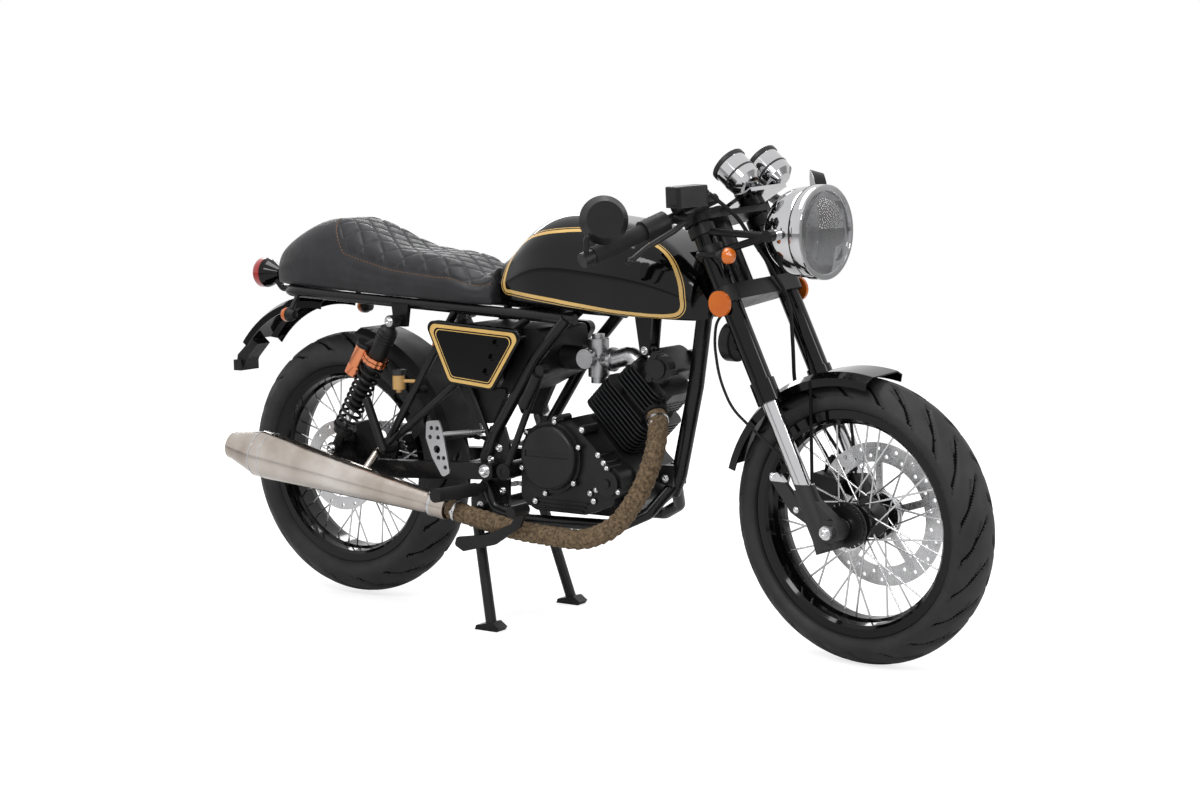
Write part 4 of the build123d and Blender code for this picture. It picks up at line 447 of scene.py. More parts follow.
class Shape:
    """Points and faces of one piece while it is being built."""

    def __init__(self):
        self.points = []
        self.faces = []

    def rows(self, rows, ring=True, loop=False):
        """Joins rows of points into a skin; ring closes each row, loop closes the rows on themselves."""
        start, width = len(self.points), len(rows[0])
        for row in rows:
            self.points.extend(row)
        for r in range(len(rows) if loop else len(rows) - 1):
            this, following = start + r * width, start + (r + 1) % len(rows) * width
            for k in range(width if ring else width - 1):
                step = (k + 1) % width
                self.faces.append((this + k, this + step, following + step, following + k))
        if ring and not loop:
            self.faces.append(tuple(start + k for k in reversed(range(width))))
            self.faces.append(tuple(start + (len(rows) - 1) * width + k for k in range(width)))

    def tube(self, path, radius, sides=12):
        """A round tube along a path; radius is a number, or a function of a point's and a side's number."""
        rows = []
        side = None
        for k, point in enumerate(path):
            way = (path[min(k + 1, len(path) - 1)] - path[max(k - 1, 0)]).normalized()
            if side is None:
                side = way.orthogonal().normalized()
            side = (side - way * side.dot(way)).normalized()
            other = way.cross(side)
            row = []
            for j in range(sides):
                reach = radius(k, j) if callable(radius) else radius
                row.append(point + around(side, other, 2 * math.pi * j / sides) * reach)
            rows.append(row)
        self.rows(rows)

    def lathe(self, origin, way, profile, sides=32):
        """A turned shape: profile is a list of radius and height along way from origin."""
        way = way.normalized()
        side = way.orthogonal().normalized()
        other = way.cross(side)
        rows = []
        for radius, height in profile:
            foot = origin + way * height
            reach = max(radius, least_radius)
            rows.append([foot + around(side, other, 2 * math.pi * j / sides) * reach for j in range(sides)])
        self.rows(rows)

    def bolt(self, place, way, radius):
        """A socket-head bolt on a washer, its foot at place."""
        socket, height = radius * 0.5, radius * 1.1
        profile = (
            (radius * 1.45, 0.0), (radius * 1.45, radius * 0.25), (radius, radius * 0.25),
            (radius, height - radius * 0.2), (radius * 0.82, height),
            (socket, height), (socket, height * 0.55), (0.0, height * 0.55),
        )
        self.lathe(place - way.normalized() * radius * 0.1, way, profile, 14)

    def piece(self, name, material, body, slot, smooth=True):
        """Makes the Blender object and lets it ride on its body."""
        mesh = bpy.data.meshes.new(name)
        points = [steer_turn @ p for p in self.points] if body in steered_bodies else self.points
        mesh.from_pydata([tuple(p) for p in points], [], self.faces)
        mesh.materials.append(material)
        mesh.polygons.foreach_set("use_smooth", [smooth] * len(mesh.polygons))
        if smooth:
            mesh.set_sharp_from_angle(angle=math.radians(40))
        mesh.update()
        thing = bpy.data.objects.new(name, mesh)
        scene.collection.objects.link(thing)
        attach(thing, body)
        return thing


# Share of a straight run that the bend at each of its ends may take
bend_share = 0.45


def rounded_path(corners, step):
    """Straight runs joined by bends, as points about step apart; lengths in metres."""
    path = [corners[0]]
    for before, corner, after in zip(corners, corners[1:], corners[2:]):
        run_in, run_out = before - corner, after - corner
        reach = bend_share * min(run_in.length, run_out.length)
        first, last = corner + run_in.normalized() * reach, corner + run_out.normalized() * reach
        path.append(first)
        middle_steps = max(3, round((last - first).length / step))
        for k in range(1, middle_steps):
            t = k / middle_steps
            path.append(first * (1 - t) ** 2 + corner * 2 * t * (1 - t) + last * t**2)
        path.append(last)
    path.append(corners[-1])
    even = [path[0]]
    for start, end in zip(path, path[1:]):
        pieces = max(1, round((end - start).length / step))
        for k in range(1, pieces + 1):
            even.append(start.lerp(end, k / pieces))
    return even


def surface_of(thing):
    """A search tree over an object's faces."""
    mesh = thing.data
    points = [v.co.copy() for v in mesh.vertices]
    return BVHTree.FromPolygons(points, [tuple(f.vertices) for f in mesh.polygons])


def closed_curve(corners, count):
    """A smooth closed curve through the corners, as count points of two coordinates."""
    n = len(corners)
    points = []
    for k in range(count):
        place = k * n / count
        i, t = int(place), place - int(place)
        a, b, c, d = (corners[(i + j) % n] for j in (-1, 0, 1, 2))
        points.append(
            tuple(
                0.5 * (2 * b[m] + (c[m] - a[m]) * t + (2 * a[m] - 5 * b[m] + 4 * c[m] - d[m]) * t**2
                       + (3 * b[m] - a[m] - 3 * c[m] + d[m]) * t**3)
                for m in (0, 1)
            )
        )
    return points


# Tank lines
tank_line = [
    # x, z of the painted outline on the tank's side, in drawing millimetres
    (498, 738), (497, 762), (507, 795), (532, 829), (565, 849), (606, 860), (655, 866), (711, 869),
    (763, 867), (820, 861), (866, 851), (905, 831), (934, 800), (951, 760), (956, 722), (948, 703),
    (930, 697), (900, 697), (860, 700), (808, 704), (748, 710), (690, 716), (640, 722), (580, 728),
    (520, 734),
]


def make_tank_lines():
    """A broad and a thin gold line round each side of the tank."""
    surface = surface_of(node_objects["fuel_tank"])
    outline = closed_curve(tank_line, 320)
    for side, side_name in ((-1, "right"), (1, "left")):
        places = []
        for x, z in outline:
            hit, normal, _, _ = surface.ray_cast(at(x, side * 300, z), Vector((0, -side, 0)))
            places.append((hit, normal))
        for name, middle, width in (("broad", 0.0, 0.0078), ("thin", 0.0076, 0.0018)):
            shape = Shape()
            rows = []
            for k, (hit, normal) in enumerate(places):
                along = (places[(k + 1) % len(places)][0] - places[k - 1][0]).normalized()
                inward = normal.cross(along) * -side
                row = []
                for share in (-0.5, 0.0, 0.5):
                    spot = hit + inward * (middle + share * width)
                    near, near_normal, _, _ = surface.find_nearest(spot)
                    row.append(near + near_normal * (0.0003 if share == 0.0 else 0.0002))
                rows.append(row)
            shape.rows(rows, ring=False, loop=True)
            shape.piece(f"tank_line_{name}_{side_name}", gold_paint, "frame", "gloss_black_paint")


def inset_outline(corners, inset, radius):
    """The corners' outline moved inwards and rounded, as points of x and z."""
    arc_steps = 8
    moved = []
    n = len(corners)
    area = sum(corners[k - 1][0] * corners[k][1] - corners[k][0] * corners[k - 1][1] for k in range(n))
    turn = 1 if area > 0 else -1
    for k in range(n):
        a, b, c = Vector(corners[k - 1]), Vector(corners[k]), Vector(corners[(k + 1) % n])
        first, second = (b - a).normalized(), (c - b).normalized()
        in_first = Vector((-first.y, first.x)) * turn
        in_second = Vector((-second.y, second.x)) * turn
        middle = (in_first + in_second).normalized()
        moved.append(b + middle * inset / middle.dot(in_first))
    points = []
    for k in range(n):
        a, b, c = moved[k - 1], moved[k], moved[(k + 1) % n]
        to_a, to_c = (a - b).normalized(), (c - b).normalized()
        half = to_a.angle(to_c) / 2
        middle = (to_a + to_c).normalized()
        centre = b + middle * radius / math.sin(half)
        start = b + to_a * radius / math.tan(half) - centre
        end = b + to_c * radius / math.tan(half) - centre
        for j in range(arc_steps + 1):
            spread = start.lerp(end, j / arc_steps).normalized() * radius
            points.append(centre + spread)
    return points


def make_cover_lines():
    """The gold outline of each side cover, a broad line with a thin one inside it."""
    corners = [(314, 671), (591, 655), (500, 522), (379, 533)]
    corner_radius, cover_face = 16.0, 143.25
    for side, side_name in ((-1, "right"), (1, "left")):
        shape = Shape()
        for outer, inner in ((6.0, 13.5), (16.5, 18.2)):
            rows = []
            outer_points = inset_outline(corners, outer, corner_radius - outer * 0.3)
            inner_points = inset_outline(corners, inner, corner_radius - inner * 0.3)
            for near, far in zip(outer_points, inner_points):
                rows.append([at(spot.x, side * cover_face, spot.y) for spot in (near, far)])
            shape.rows(rows, ring=False, loop=True)
        shape.piece(f"cover_lines_{side_name}", gold_paint, "frame", "gloss_black_paint")


# Seat
seat_rows = [
    # x, half width, high edge
    (-206, 36, 768), (-176, 74, 816), (-100, 102, 862), (5, 112, 887),
    (100, 117, 858), (193, 120, 822), (330, 120, 801), (472, 108, 797),
]
seat_places, seat_halves, seat_tops = zip(*seat_rows)
quilt_rear = 2.0
quilt_corner = 62.0
quilt_share = 0.9
diamond_length = 62.0
diamond_width = 47.0


def seat_base(x):
    """Height of the seat's foot in drawing millimetres."""
    return 733.0 - 0.0484 * (x + 150.0)


def panel_half(x):
    """Half the quilted panel's width at x, in drawing millimetres."""
    return np.interp(x, seat_places, seat_halves) * quilt_share


def seam_distance(x, y):
    """How far a place lies inside the quilted panel's seam, in drawing millimetres; less than 0 outside."""
    half = panel_half(x)
    from_side = half - np.abs(y)
    from_rear = x - quilt_rear
    corner_x, corner_y = quilt_corner - from_rear, quilt_corner - from_side
    in_corner = (corner_x > 0) & (corner_y > 0)
    round_part = quilt_corner - np.sqrt(np.maximum(corner_x, 0) ** 2 + np.maximum(corner_y, 0) ** 2)
    return np.where(in_corner, round_part, np.minimum(from_side, from_rear))


def evaluated_mesh(thing):
    """The object's mesh with its modifiers done, which then come off."""
    tree = bpy.context.evaluated_depsgraph_get()
    mesh = bpy.data.meshes.new_from_object(thing.evaluated_get(tree))
    thing.modifiers.clear()
    thing.data = mesh
    return mesh


def mesh_points(mesh, of="co"):
    """A mesh's points or normals as an array."""
    values = np.empty(len(mesh.vertices) * 3)
    mesh.vertices.foreach_get(of, values)
    return values.reshape(-1, 3)


# Lengths in metres
seat_voxel = 0.0052
pad_inset = 0.0022
most_swelling = 0.0035
cloth_frames = 20
stitch_length, stitch_gap, stitch_radius = 0.0055, 0.0025, 0.0008


def set_points(mesh, places):
    """Moves a mesh's points to the places of an array."""
    mesh.vertices.foreach_set("co", places.ravel())
    mesh.update()


def swell(seat, places, above):
    """Lets cloth pressure push the seat's skin out while its foot is held."""
    held = seat.vertex_groups.new(name="held")
    for k, height in enumerate(above):
        held.add([k], float(1 - height), "REPLACE")
    cloth = seat.modifiers.new("cloth", "CLOTH")
    cloth.settings.quality = 5
    cloth.settings.mass = 0.3
    cloth.settings.use_pressure = True
    cloth.settings.uniform_pressure_force = 4.0
    cloth.settings.effector_weights.gravity = 0.0
    cloth.settings.vertex_group_mass = "held"
    cloth.point_cache.frame_end = cloth_frames
    for step in range(1, cloth_frames + 1):
        scene.frame_set(step)
    mesh = evaluated_mesh(seat)
    scene.frame_set(1)
    move = mesh_points(mesh) - places
    size = np.linalg.norm(move, axis=1)
    move *= (np.minimum(size, most_swelling) / np.maximum(size, 1e-9))[:, None]
    set_points(mesh, places + move)


def quilt_depth(x, y, z):
    """How deep diamonds and seam sink into the skin at places of the seat; drawing millimetres."""
    top = np.interp(x, seat_places, seat_tops)
    upper = np.clip((z - seat_base(x) - 0.42 * (top - seat_base(x))) / 6, 0, 1)
    inside = seam_distance(x, y)
    step = 4.0
    knots = np.arange(-220, 500, step)
    slope = np.gradient(np.interp(knots, seat_places, seat_tops), knots)
    run = np.interp(x, knots, np.concatenate([[0], np.cumsum(step * np.sqrt(1 + slope[1:] ** 2))]))
    spacing = 1 / math.hypot(1 / diamond_length, 1 / diamond_width)
    away = np.full(len(x), 1e3)
    for sign in (1, -1):
        phase = run / diamond_length + sign * y / diamond_width
        away = np.minimum(away, np.abs(phase - np.round(phase)) * spacing)
    panel = np.clip(inside / 5, 0, 1) * upper
    sink = 3.0 * np.exp(-((away / 2.8) ** 2)) - 1.4 * (1 - np.exp(-((away / 11) ** 2)))
    seam = 2.4 * np.exp(-((inside / 2.6) ** 2)) * upper
    return sink * panel + seam


def make_seat():
    """The padded seat: swollen by cloth pressure, then quilted in diamonds with a stitched seam."""
    seat = bpy.data.objects.new("quilted_seat", node_objects["seat"].data.copy())
    scene.collection.objects.link(seat)
    remesh = seat.modifiers.new("remesh", "REMESH")
    remesh.mode = "VOXEL"
    remesh.voxel_size = seat_voxel
    mesh = evaluated_mesh(seat)
    places, normals = mesh_points(mesh), mesh_points(mesh, "normal")
    foot = (seat_base(places[:, 0] * 1000 + origin_x)) / 1000
    above = np.clip((places[:, 2] - foot - 0.006) / 0.02, 0, 1)
    places = places - normals * (pad_inset * above)[:, None]
    set_points(mesh, places)
    swell(seat, places, above)
    smooth = seat.modifiers.new("smooth", "SUBSURF")
    smooth.levels = 1
    mesh = evaluated_mesh(seat)

    places, normals = mesh_points(mesh), mesh_points(mesh, "normal")
    depth = quilt_depth(places[:, 0] * 1000 + origin_x, places[:, 1] * 1000, places[:, 2] * 1000)
    set_points(mesh, places - normals * (depth / 1000)[:, None])
    mesh.materials.clear()
    mesh.materials.append(seat_leather)
    mesh.polygons.foreach_set("use_smooth", [True] * len(mesh.polygons))
    mesh.update()
    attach(seat, "frame")
    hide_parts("seat")
    make_stitches(surface_of(seat))


def seam_corners():
    """One side's half of the panel's seam, from the tank round the rear corner, in drawing millimetres."""
    path = [(x, panel_half(x)) for x in range(468, 62, -3)]
    corner_half = panel_half(quilt_rear + quilt_corner)
    for angle in range(2, 90, 3):
        turn = math.radians(angle)
        x = quilt_rear + quilt_corner * (1 - math.sin(turn))
        path.append((x, corner_half - quilt_corner * (1 - math.cos(turn))))
    rear_half = corner_half - quilt_corner
    return path + [(quilt_rear, rear_half - 3 * k) for k in range(int(rear_half / 3))]


def make_stitches(surface):
    """A dashed brown thread along the panel's seam, on the finished skin."""
    spots = []
    for sign in (-1, 1):
        for x, y in seam_corners()[::-sign]:
            hit, normal, _, _ = surface.ray_cast(at(x, sign * y, 950), Vector((0, 0, -1)))
            if hit is not None:
                spots.append(hit + normal * 0.0006)
    stitches = Shape()
    run = 0.0
    current = []
    drawn = True
    for start, end in zip(spots, spots[1:]):
        length = (end - start).length
        if length > 0.03:
            continue
        steps = max(1, round(length / 0.001))
        for k in range(steps):
            run += length / steps
            if drawn:
                current.append(start.lerp(end, k / steps))
            if run >= (stitch_length if drawn else stitch_gap):
                if drawn and len(current) > 2:
                    stitches.tube([current[0], current[len(current) // 2], current[-1]], stitch_radius, 6)
                current = []
                drawn = not drawn
                run = 0.0
    stitches.piece("seat_stitches", thread_brown, "frame", "seat_leather")


# Tyres; lengths in metres, shares are of half the width
tread_share = 0.34
groove_depth, groove_half, groove_edge = 0.0052, 0.115, 0.04
branch_depth, branch_half, branch_edge = 0.0042, 0.075, 0.03
wall_ring_pitch, wall_ring_depth = 0.0115, 0.0009
# Faces sunk deeper than this take the painted groove shade
sunken_from = 0.002


def off_middle(value):
    """How far a number is from the middle between two whole numbers."""
    return abs(value - math.floor(value) - 0.5)


def tread_depth(radius, across, turns, outer, lowest, width):
    """Depth of the tread at a place: swept grooves with a branch each, and fine rings on the walls."""
    if radius > outer - width * tread_share:
        depth = 0.0
        swoop = turns + (0.5 if across > 0 else 0.0) + 1.25 * abs(across) ** 1.4
        place = off_middle(swoop)
        if place < groove_half and 0.12 < abs(across) < 0.93:
            depth = groove_depth * min(1.0, (groove_half - place) / groove_edge)
        place = off_middle(swoop + 0.44 + 0.7 * abs(across))
        if place < branch_half and 0.42 < abs(across) < 0.97:
            depth = max(depth, branch_depth * min(1.0, (branch_half - place) / branch_edge))
        return depth
    if radius > lowest + 0.012 and off_middle((radius - lowest) / wall_ring_pitch) < 0.16:
        return wall_ring_depth
    return 0.0


def make_tyre(name, node, centre, width, patterns, body):
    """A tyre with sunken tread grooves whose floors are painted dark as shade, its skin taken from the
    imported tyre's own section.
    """
    surface = surface_of(node_objects[node])
    turn = steer_turn if body in steered_bodies else Matrix.Identity(4)
    middle = at(*centre)
    low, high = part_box(node)
    outer = (high[2] - low[2]) / 2
    section_radius = outer - width * 0.44
    samples, steps = 76, 720
    profile = []
    for k in range(samples):
        angle = math.radians(-128 + 256 * k / (samples - 1))
        way = Vector((math.cos(angle), math.sin(angle), 0))
        ray_origin = turn @ (middle + Vector((section_radius, 0, 0)) + way * 0.2)
        hit, _, _, _ = surface.ray_cast(ray_origin, (turn.to_3x3() @ (-way)).normalized())
        local = turn.inverted() @ hit - middle
        profile.append((local.x, local.y))
    lowest = min(radius for radius, _ in profile)
    rows = []
    sunken = []
    for j in range(steps):
        angle = 2 * math.pi * j / steps
        row = []
        for radius, side in profile:
            turns = angle * patterns / (2 * math.pi)
            depth = tread_depth(radius, side / (width / 2), turns, outer, lowest, width)
            reach = radius - depth
            sunken.append(depth > sunken_from)
            row.append(middle + Vector((reach * math.cos(angle), side, reach * math.sin(angle))))
        rows.append(row)
    shape = Shape()
    shape.rows(rows, loop=True)
    tyre = shape.piece(name, tyre_black, body, "tyre_rubber")
    # Painted shade: faces sunk past sunken_from get the dark groove material
    tyre.data.materials.append(painted_groove_shade)
    for face in tyre.data.polygons:
        if all(sunken[v] for v in face.vertices):
            face.material_index = 1
    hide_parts(node)


# Exhaust wrap
header_route = [
    (864.1, -53.8, 481.3), (878.8, -69.4, 466.6), (896, -112, 412), (886, -146, 340), (838, -168, 262),
    (762, -178, 226), (590, -182, 232), (466, -195, 258), (420, -199, 270),
]


# Lengths in metres
wrap_lay = 0.019
wrap_foot = 0.0194
wrap_rise = 0.0026
clamp_profile = ((0.0226, 0), (0.0226, 0.006), (0.0205, 0.006), (0.0205, 0), (0.0226, 0))


def make_header_wrap():
    """The header's skin with ridges like turns of heat wrap, and a steel clamp at each end."""
    path = rounded_path([at(*p) for p in header_route], 0.0022)
    sides = 40
    runs = [0.0]
    for start, end in zip(path, path[1:]):
        runs.append(runs[-1] + (end - start).length)

    def skin(k, j):
        """Radius of the skin at a point of the path and a side of the pipe."""
        run, angle = runs[k], 2 * math.pi * j / sides
        lay = run / wrap_lay + j / sides + 0.09 * math.sin(run * 60)
        lay -= math.floor(lay)
        crease = 0.0007 * math.sin(9 * angle + run * 90) * math.sin(5 * angle - run * 140)
        edge = 1 if lay < 0.88 else (1 - lay) / 0.12
        return wrap_foot + wrap_rise * min(1.0, lay * 1.15) * edge + crease

    shape = Shape()
    shape.tube(path, skin, sides)
    wrap = shape.piece("header_wrap", wrap_cloth, "frame", "heat_wrap")
    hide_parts("exhaust_header")
    clamps = Shape()
    for place in (6, len(path) - 12):
        start, end = path[place], path[place + 3]
        way = (end - start).normalized()
        clamps.lathe(start, way, clamp_profile, 40)
        clamps.bolt(start + way * 0.003 + Vector((0, -0.0225, 0)), Vector((0, -1, 0)), 0.0035)
    clamps.piece("wrap_clamps", bolt_steel, "frame", "stainless")


# Shock absorbers; lengths in metres, profiles are radius and height
coil_radius, coil_wire, coil_turns = 0.0232, 0.0035, 10.5
ring_radius, ring_notch = 0.0285, 0.0016
eye_profile = ((0.0085, 0), (0.014, 0), (0.014, 0.024), (0.0085, 0.024), (0.0085, 0))
foot_profile = (
    (0.010, 0), (0.011, 0.03), (0.022, 0.034), (0.022, 0.046),
    (0.0275, 0.048), (0.0275, 0.052), (0.010, 0.052),
)
head_profile = ((0.010, 0), (0.020, 0.010), (0.021, 0.05), (0.021, 0.098), (0.012, 0.1))
fin_profile = ((0.0205, 0), (0.0222, 0.001), (0.0222, 0.004), (0.0205, 0.005))
sleeve_profile = ((0.012, 0), (0.0155, 0.004), (0.0155, 0.13), (0.012, 0.13))
tank_profile = (
    (0.016, 0), (0.018, 0.002), (0.018, 0.024), (0.0175, 0.025),
    (0.0175, 0.026), (0.018, 0.027), (0.018, 0.075),
)
tank_cap_profile = ((0.018, 0), (0.0197, 0.0005), (0.0197, 0.008), (0.0185, 0.0095), (0, 0.0095))
tank_foot_profile = ((0, -0.0002), (0.014, -0.0002), (0.016, 0.001))


def make_shocks():
    """Dampers with coil springs, copper rings and copper reservoirs."""
    bodies, springs, rings, tanks, rods = (Shape() for _ in range(5))
    for side in (-1, 1):
        top, bottom = at(224, side * 138, 664), at(42, side * 138, 368)
        up = (top - bottom).normalized()
        length = (top - bottom).length
        across = Vector((0, side, 0))
        ahead = across.cross(up) * side
        for eye in (top, bottom):
            bodies.lathe(eye - across * 0.012, across, eye_profile, 28)
            rods.bolt(eye + across * 0.0135, across, 0.008)
        bodies.lathe(bottom + up * 0.010, up, foot_profile)
        bodies.lathe(top - up * 0.012, -up, head_profile)
        for k in range(4):
            bodies.lathe(top - up * (0.03 + 0.008 * k), -up, fin_profile)
        rods.lathe(bottom + up * 0.05, up, ((0.0075, 0), (0.0075, length - 0.16)), 20)
        bodies.lathe(bottom + up * (length - 0.235), up, sleeve_profile)
        start, end = 0.064, length - 0.112
        coil = []
        steps = int(coil_turns * 26)
        for k in range(steps + 1):
            share = k / steps
            squeeze = share + 0.018 * math.sin(2 * math.pi * share)
            reach = around(ahead, across, 2 * math.pi * coil_turns * share) * coil_radius
            coil.append(bottom + up * (start + (end - start) * squeeze) + reach)
        springs.tube(coil, coil_wire, 8)
        teeth = []
        for k in range(48):
            size = ring_radius - (ring_notch if k % 4 < 2 else 0.0)
            teeth.append(around(ahead, across, 2 * math.pi * k / 48) * size)
        for heights in ((length - 0.112, length - 0.104), (length - 0.102, length - 0.094)):
            rings.rows([[bottom + up * height + tooth for tooth in teeth] for height in heights])
        tank_top = top - up * 0.034 + Vector((-0.058, side * 0.006, -0.022))
        tanks.lathe(tank_top - up * 0.084, up, tank_profile, 40)
        bodies.lathe(tank_top - up * 0.0095, up, tank_cap_profile, 40)
        bodies.lathe(tank_top - up * 0.0845, up, tank_foot_profile, 40)
        near, far = top - up * 0.044, tank_top - up * 0.012
        bodies.tube([near, near.lerp(far, 0.5), far], 0.0088, 16)
    body_piece = bodies.piece("shock_bodies", satin_black, "frame", "shock_paint")
    springs.piece("shock_springs", satin_black, "frame", "shock_paint")
    rings.piece("shock_rings", copper, "frame", "shock_paint", smooth=False)
    tanks.piece("shock_reservoirs", copper, "frame", "shock_paint")
    rods.piece("shock_rods", bolt_steel, "frame", "shock_paint")
    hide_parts("shock_absorbers")


# Lamps, dials and fittings; profiles are radius and height in metres
forward = Vector((1, 0, 0))
lamp_centre = at(wheelbase - 66, 0, 868)
bar_corners = (
    (-0.05, 0.018, 0.016), (-0.012, 0.026, 0.010), (-0.012, 0.074, 0.007), (-0.034, 0.079, 0.013),
)
bar_ring_profile = ((0.030, 0), (0.030, 0.03), (0.026, 0.036), (0.022, 0.03), (0.018, 0.012), (0, 0.010))
rim_profile = (
    (0.0935, 0), (0.0944, 0.004), (0.0944, 0.02), (0.092, 0.0245), (0.0865, 0.0245), (0.085, 0.021),
)
dial_tilt = math.radians(50.0)
dial_way = Vector((-math.sin(dial_tilt), 0, math.cos(dial_tilt)))
dial_up = Vector((math.cos(dial_tilt), 0, math.sin(dial_tilt)))
dial_glass_profile = ((0.0338, 0), (0.028, 0.0016), (0.016, 0.0026), (0.0, 0.003))
signal_profile = ((0.0163, 0.002), (0.0163, 0.0086), (0.0134, 0.0147), (0.006, 0.0178), (0.0, 0.0187))
tail_profile = ((0.0353, 0.006), (0.0354, 0.0222), (0.0324, 0.0264), (0.018, 0.0282), (0.0, 0.0288))
horn_profile = (
    (0.0395, 0), (0.0395, 0.0015), (0.037, 0.003), (0.033, 0.003), (0.031, 0.0012),
    (0.018, 0.0012), (0.016, 0.004), (0.008, 0.005), (0.0, 0.005),
)
mirror_profile = ((0.0455, 0), (0.0455, 0.0008), (0.044, 0.0011), (0.0, 0.0011))
bezel_profile = (
    (0.0365, 0.0242), (0.0386, 0.0262), (0.0386, 0.0338),
    (0.0372, 0.0352), (0.0335, 0.0352), (0.0335, 0.0342),
)
gauge_seam_profile = ((0.0362, -0.0072), (0.0366, -0.0068), (0.0366, -0.003), (0.0362, -0.0026))
lamp_seam_profile = ((0.0895, 0), (0.0922, 0.0006), (0.0942, 0.0036), (0.0935, 0.0042))


def turned(name, places, profile, sides, material, body, slot):
    """One piece made of equal turned shapes, each at a place and along a way."""
    shape = Shape()
    for place, way in places:
        shape.lathe(place, way, profile, sides)
    shape.piece(name, material, body, slot)


def make_headlight():
    """A bright reflector bowl, a dark light bar with a ring, a small glass eye and the chromed rim."""
    dish = [(0.0825, -0.003), (0.0825, -0.014)]
    for k in range(9):
        share = k / 8
        dish.append((0.08 - 0.055 * share, -0.02 - 0.042 * share**0.7))
    dish.append((0.0, -0.064))
    face = [(lamp_centre, forward)]
    turned("headlight_reflector", face, dish, 64, mirror_chrome, "steering", "polished_chrome")
    bar = Shape()
    for side in (-1, 1):
        upper = [lamp_centre + Vector((x, side * y, z)) for x, y, z in reversed(bar_corners)]
        points = [lamp_centre + Vector((x, side * y, -z)) for x, y, z in bar_corners] + upper
        bar.rows([points, [p + Vector((-0.01, 0, 0)) for p in points]])
    bar.lathe(lamp_centre + forward * -0.05, forward, bar_ring_profile, 48)
    bar.piece("headlight_bar", dial_black, "steering", "polished_chrome")
    bulge = []
    for k in range(7):
        angle = k * math.pi / 12
        bulge.append((0.0215 * math.cos(angle), 0.0215 * 0.6 * math.sin(angle)))
    eye = [(lamp_centre + forward * -0.034, forward)]
    turned("headlight_eye", eye, bulge, 40, glass, "steering", "lens_glass")
    rim = [(lamp_centre + forward * -0.024, forward)]
    turned("headlight_rim", rim, rim_profile, 96, chrome, "steering", "polished_chrome")


def make_dials():
    """Two clock faces with ticks, needles, domed glasses and no figures."""
    faces, ticks, glasses = Shape(), Shape(), Shape()
    across = dial_way.cross(dial_up)
    for side in (-1, 1):
        centre = at(wheelbase - 236, side * 55, 986) + dial_way * 0.0344
        faces.lathe(centre, dial_way, ((0.0335, 0), (0.0335, 0.0006), (0.0, 0.0006)), 48)
        for k in range(31):
            angle = math.radians(-135 + 9 * k)
            way = around(dial_up, across, angle)
            near = 0.024 if k % 5 == 0 else 0.027
            half = around(across, -dial_up, angle) * (0.0006 if k % 5 == 0 else 0.0003)
            base = centre + dial_way * 0.0009
            row = [base + way * near - half, base + way * near + half]
            ticks.rows([row, [base + way * 0.030 - half, base + way * 0.030 + half]], ring=False)
        way = around(dial_up, across, math.radians(-120))
        wide = dial_way.cross(way)
        base = centre + dial_way * 0.0013
        ends = ((base - way * 0.006, wide * 0.001), (base + way * 0.024, wide * 0.0004))
        ticks.rows([[end - half, end + half] for end, half in ends], ring=False)
        glasses.lathe(centre + dial_way * 0.0016, dial_way, dial_glass_profile, 48)
    faces.piece("dial_faces", dial_black, "steering", "polished_chrome")
    ticks.piece("dial_ticks", white_print, "steering", "polished_chrome", smooth=False)
    glasses.piece("dial_glasses", glass, "steering", "lens_glass")


def make_small_lamps():
    """Amber lenses on the four signals and the red lens of the tail light."""
    front = [(at(wheelbase - 198, side * 156, 834), forward) for side in (-1, 1)]
    turned("front_signal_lenses", front, signal_profile, 32, amber, "steering", "signal_plastic")
    rear = [(at(-90, side * 134, 668), -forward) for side in (-1, 1)]
    turned("rear_signal_lenses", rear, signal_profile, 32, amber, "frame", "signal_plastic")
    tail = [(at(-272, 0, 753), -forward)]
    turned("tail_lens", tail, tail_profile, 40, red_lens, "frame", "signal_plastic")


def make_fittings():
    """The horn's face, mirror glass, dark rings on the gauges and headlight, and the muffler's seams."""
    horn = [(at(wheelbase - 258, -62, 648) + forward * 0.0118, forward)]
    turned("horn_face", horn, horn_profile, 48, satin_black, "steering", "frame_paint")
    facing = Vector((0.72, -0.66, 0.12)).normalized()
    mirrors = []
    for side in (-1, 1):
        way = Vector((facing.x, -facing.y * side, facing.z))
        mirrors.append((at(wheelbase - 330, side * 362, 921) - way * 0.0138, -way))
    turned("mirror_glass", mirrors, mirror_profile, 48, mirror_chrome, "steering", "polished_chrome")
    bezels = Shape()
    for side in (-1, 1):
        centre = at(wheelbase - 236, side * 55, 986)
        bezels.lathe(centre, dial_way, bezel_profile, 56)
        bezels.lathe(centre, dial_way, gauge_seam_profile, 56)
    bezels.lathe(lamp_centre - forward * 0.0285, forward, lamp_seam_profile, 80)
    bezels.piece("dark_bezels", dial_black, "steering", "polished_chrome")
    joint, tail = at(420, -199, 270), at(-182, -236, 371)
    along = (tail - joint).normalized()
    length = (tail - joint).length
    seams = Shape()
    seam_sizes = ((0.036, 0.0283, 0.007), (length - 0.114, 0.0534, 0.003), (length - 0.087, 0.0533, 0.003))
    for place, size, wide in seam_sizes:
        profile = ((size - 0.0006, 0), (size, 0.0004), (size, wide - 0.0004), (size - 0.0006, wide))
        seams.lathe(joint + along * place, along, profile, 56)
    seams.piece("muffler_seams", steel, "frame", "stainless")


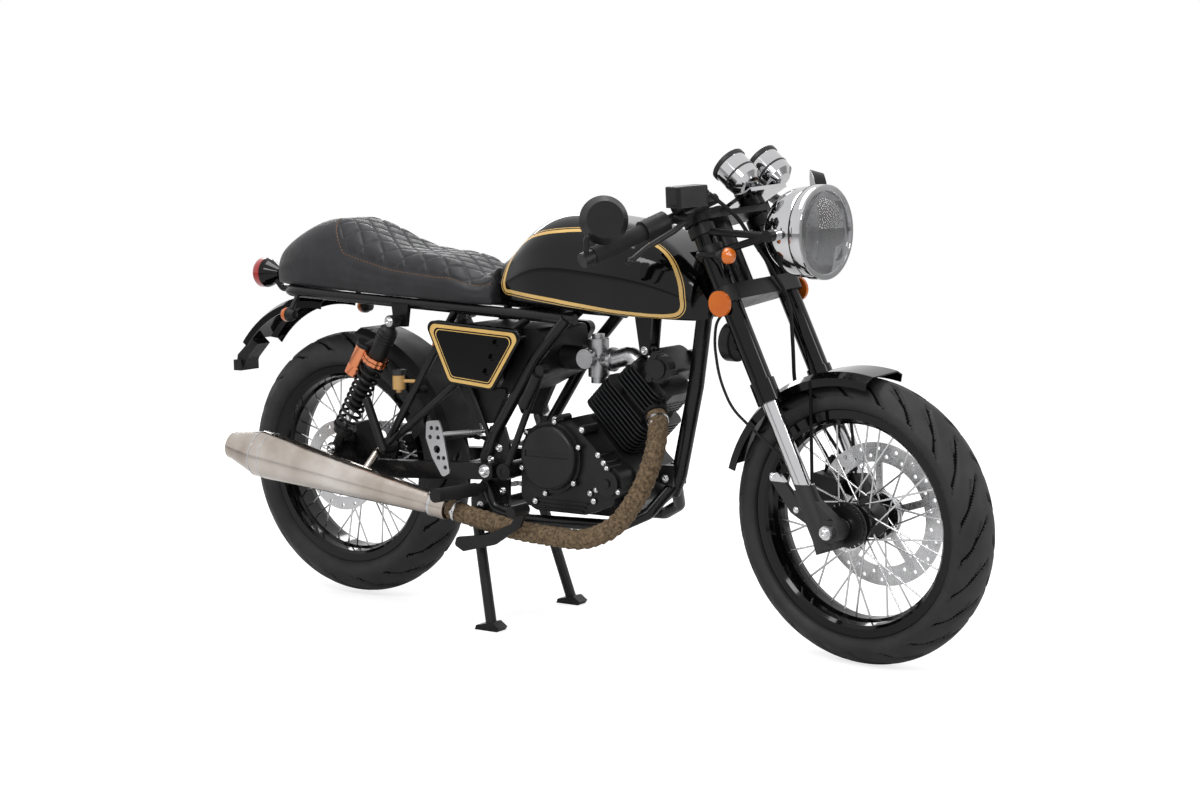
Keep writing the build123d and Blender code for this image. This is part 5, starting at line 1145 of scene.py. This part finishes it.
# Bolts
def make_bolts():
    """Bright bolt heads on the engine, frame plates, fork feet and covers."""
    frame_bolts, fork_bolts = Shape(), Shape()
    right, left = Vector((0, -1, 0)), Vector((0, 1, 0))
    cover_bolts = [
        # x, z, how far the boss face stands out to the right
        (656, 470, 131), (726, 452, 132), (765, 401, 130), (779, 385, 130), (743, 318, 130),
        (752, 302, 130), (600, 290, 130),
    ]
    for x, z, face in cover_bolts:
        frame_bolts.bolt(at(x, -face, z), right, 0.0042)
    bolt_circles = (
        # bolts, first angle, x and z of the centre, radius, how far the cover stands out
        (6, 20, 646, 388, 79, 138),
        (3, 90, 789, 343, 32, 134),
    )
    for count, first, x, z, radius, face in bolt_circles:
        for k in range(count):
            angle = math.radians(first + 360 // count * k)
            spot = at(x + radius * math.cos(angle), -face, z + radius * math.sin(angle))
            frame_bolts.bolt(spot, right, 0.0036)
    plate_bolts = [
        # x, y, z of bolts on the pivot plates and engine mounts
        (485, -102, 393), (462, -102, 366), (492, -102, 300), (430, -102, 262), (498, -102, 262),
        (841, -27, 360), (866, -27, 345), (813, -20, 613), (838, -20, 350),
    ]
    for x, y, z in plate_bolts:
        frame_bolts.bolt(at(x, y, z), right, 0.006)
        frame_bolts.bolt(at(x, -y, z), left, 0.006)
    for side, way in ((-1, right), (1, left)):
        frame_bolts.bolt(at(466, side * 131.2, 345), way, 0.010)
        frame_bolts.bolt(at(0, side * 147.2, 315), way, 0.010)
        for x, z in ((1235, 326), (1180, 390)):
            fork_bolts.bolt(at(x, side * 106, z), way, 0.0045)
        fork_bolts.bolt(at(1320, side * 131, 293), way, 0.009)
    frame_bolts.piece("frame_bolts", bolt_steel, "frame", "axle_steel")
    fork_bolts.piece("fork_bolts", bolt_steel, "steering", "axle_steel")


make_tank_lines()
make_cover_lines()
make_seat()
make_tyre("front_tyre_tread", "front_tyre", front_axle_mm, 0.110, 22, "front_wheel")
make_tyre("rear_tyre_tread", "rear_tyre", rear_axle_mm, 0.130, 20, "rear_wheel")
make_header_wrap()
make_shocks()
make_headlight()
make_dials()
make_small_lamps()
make_fittings()
make_bolts()
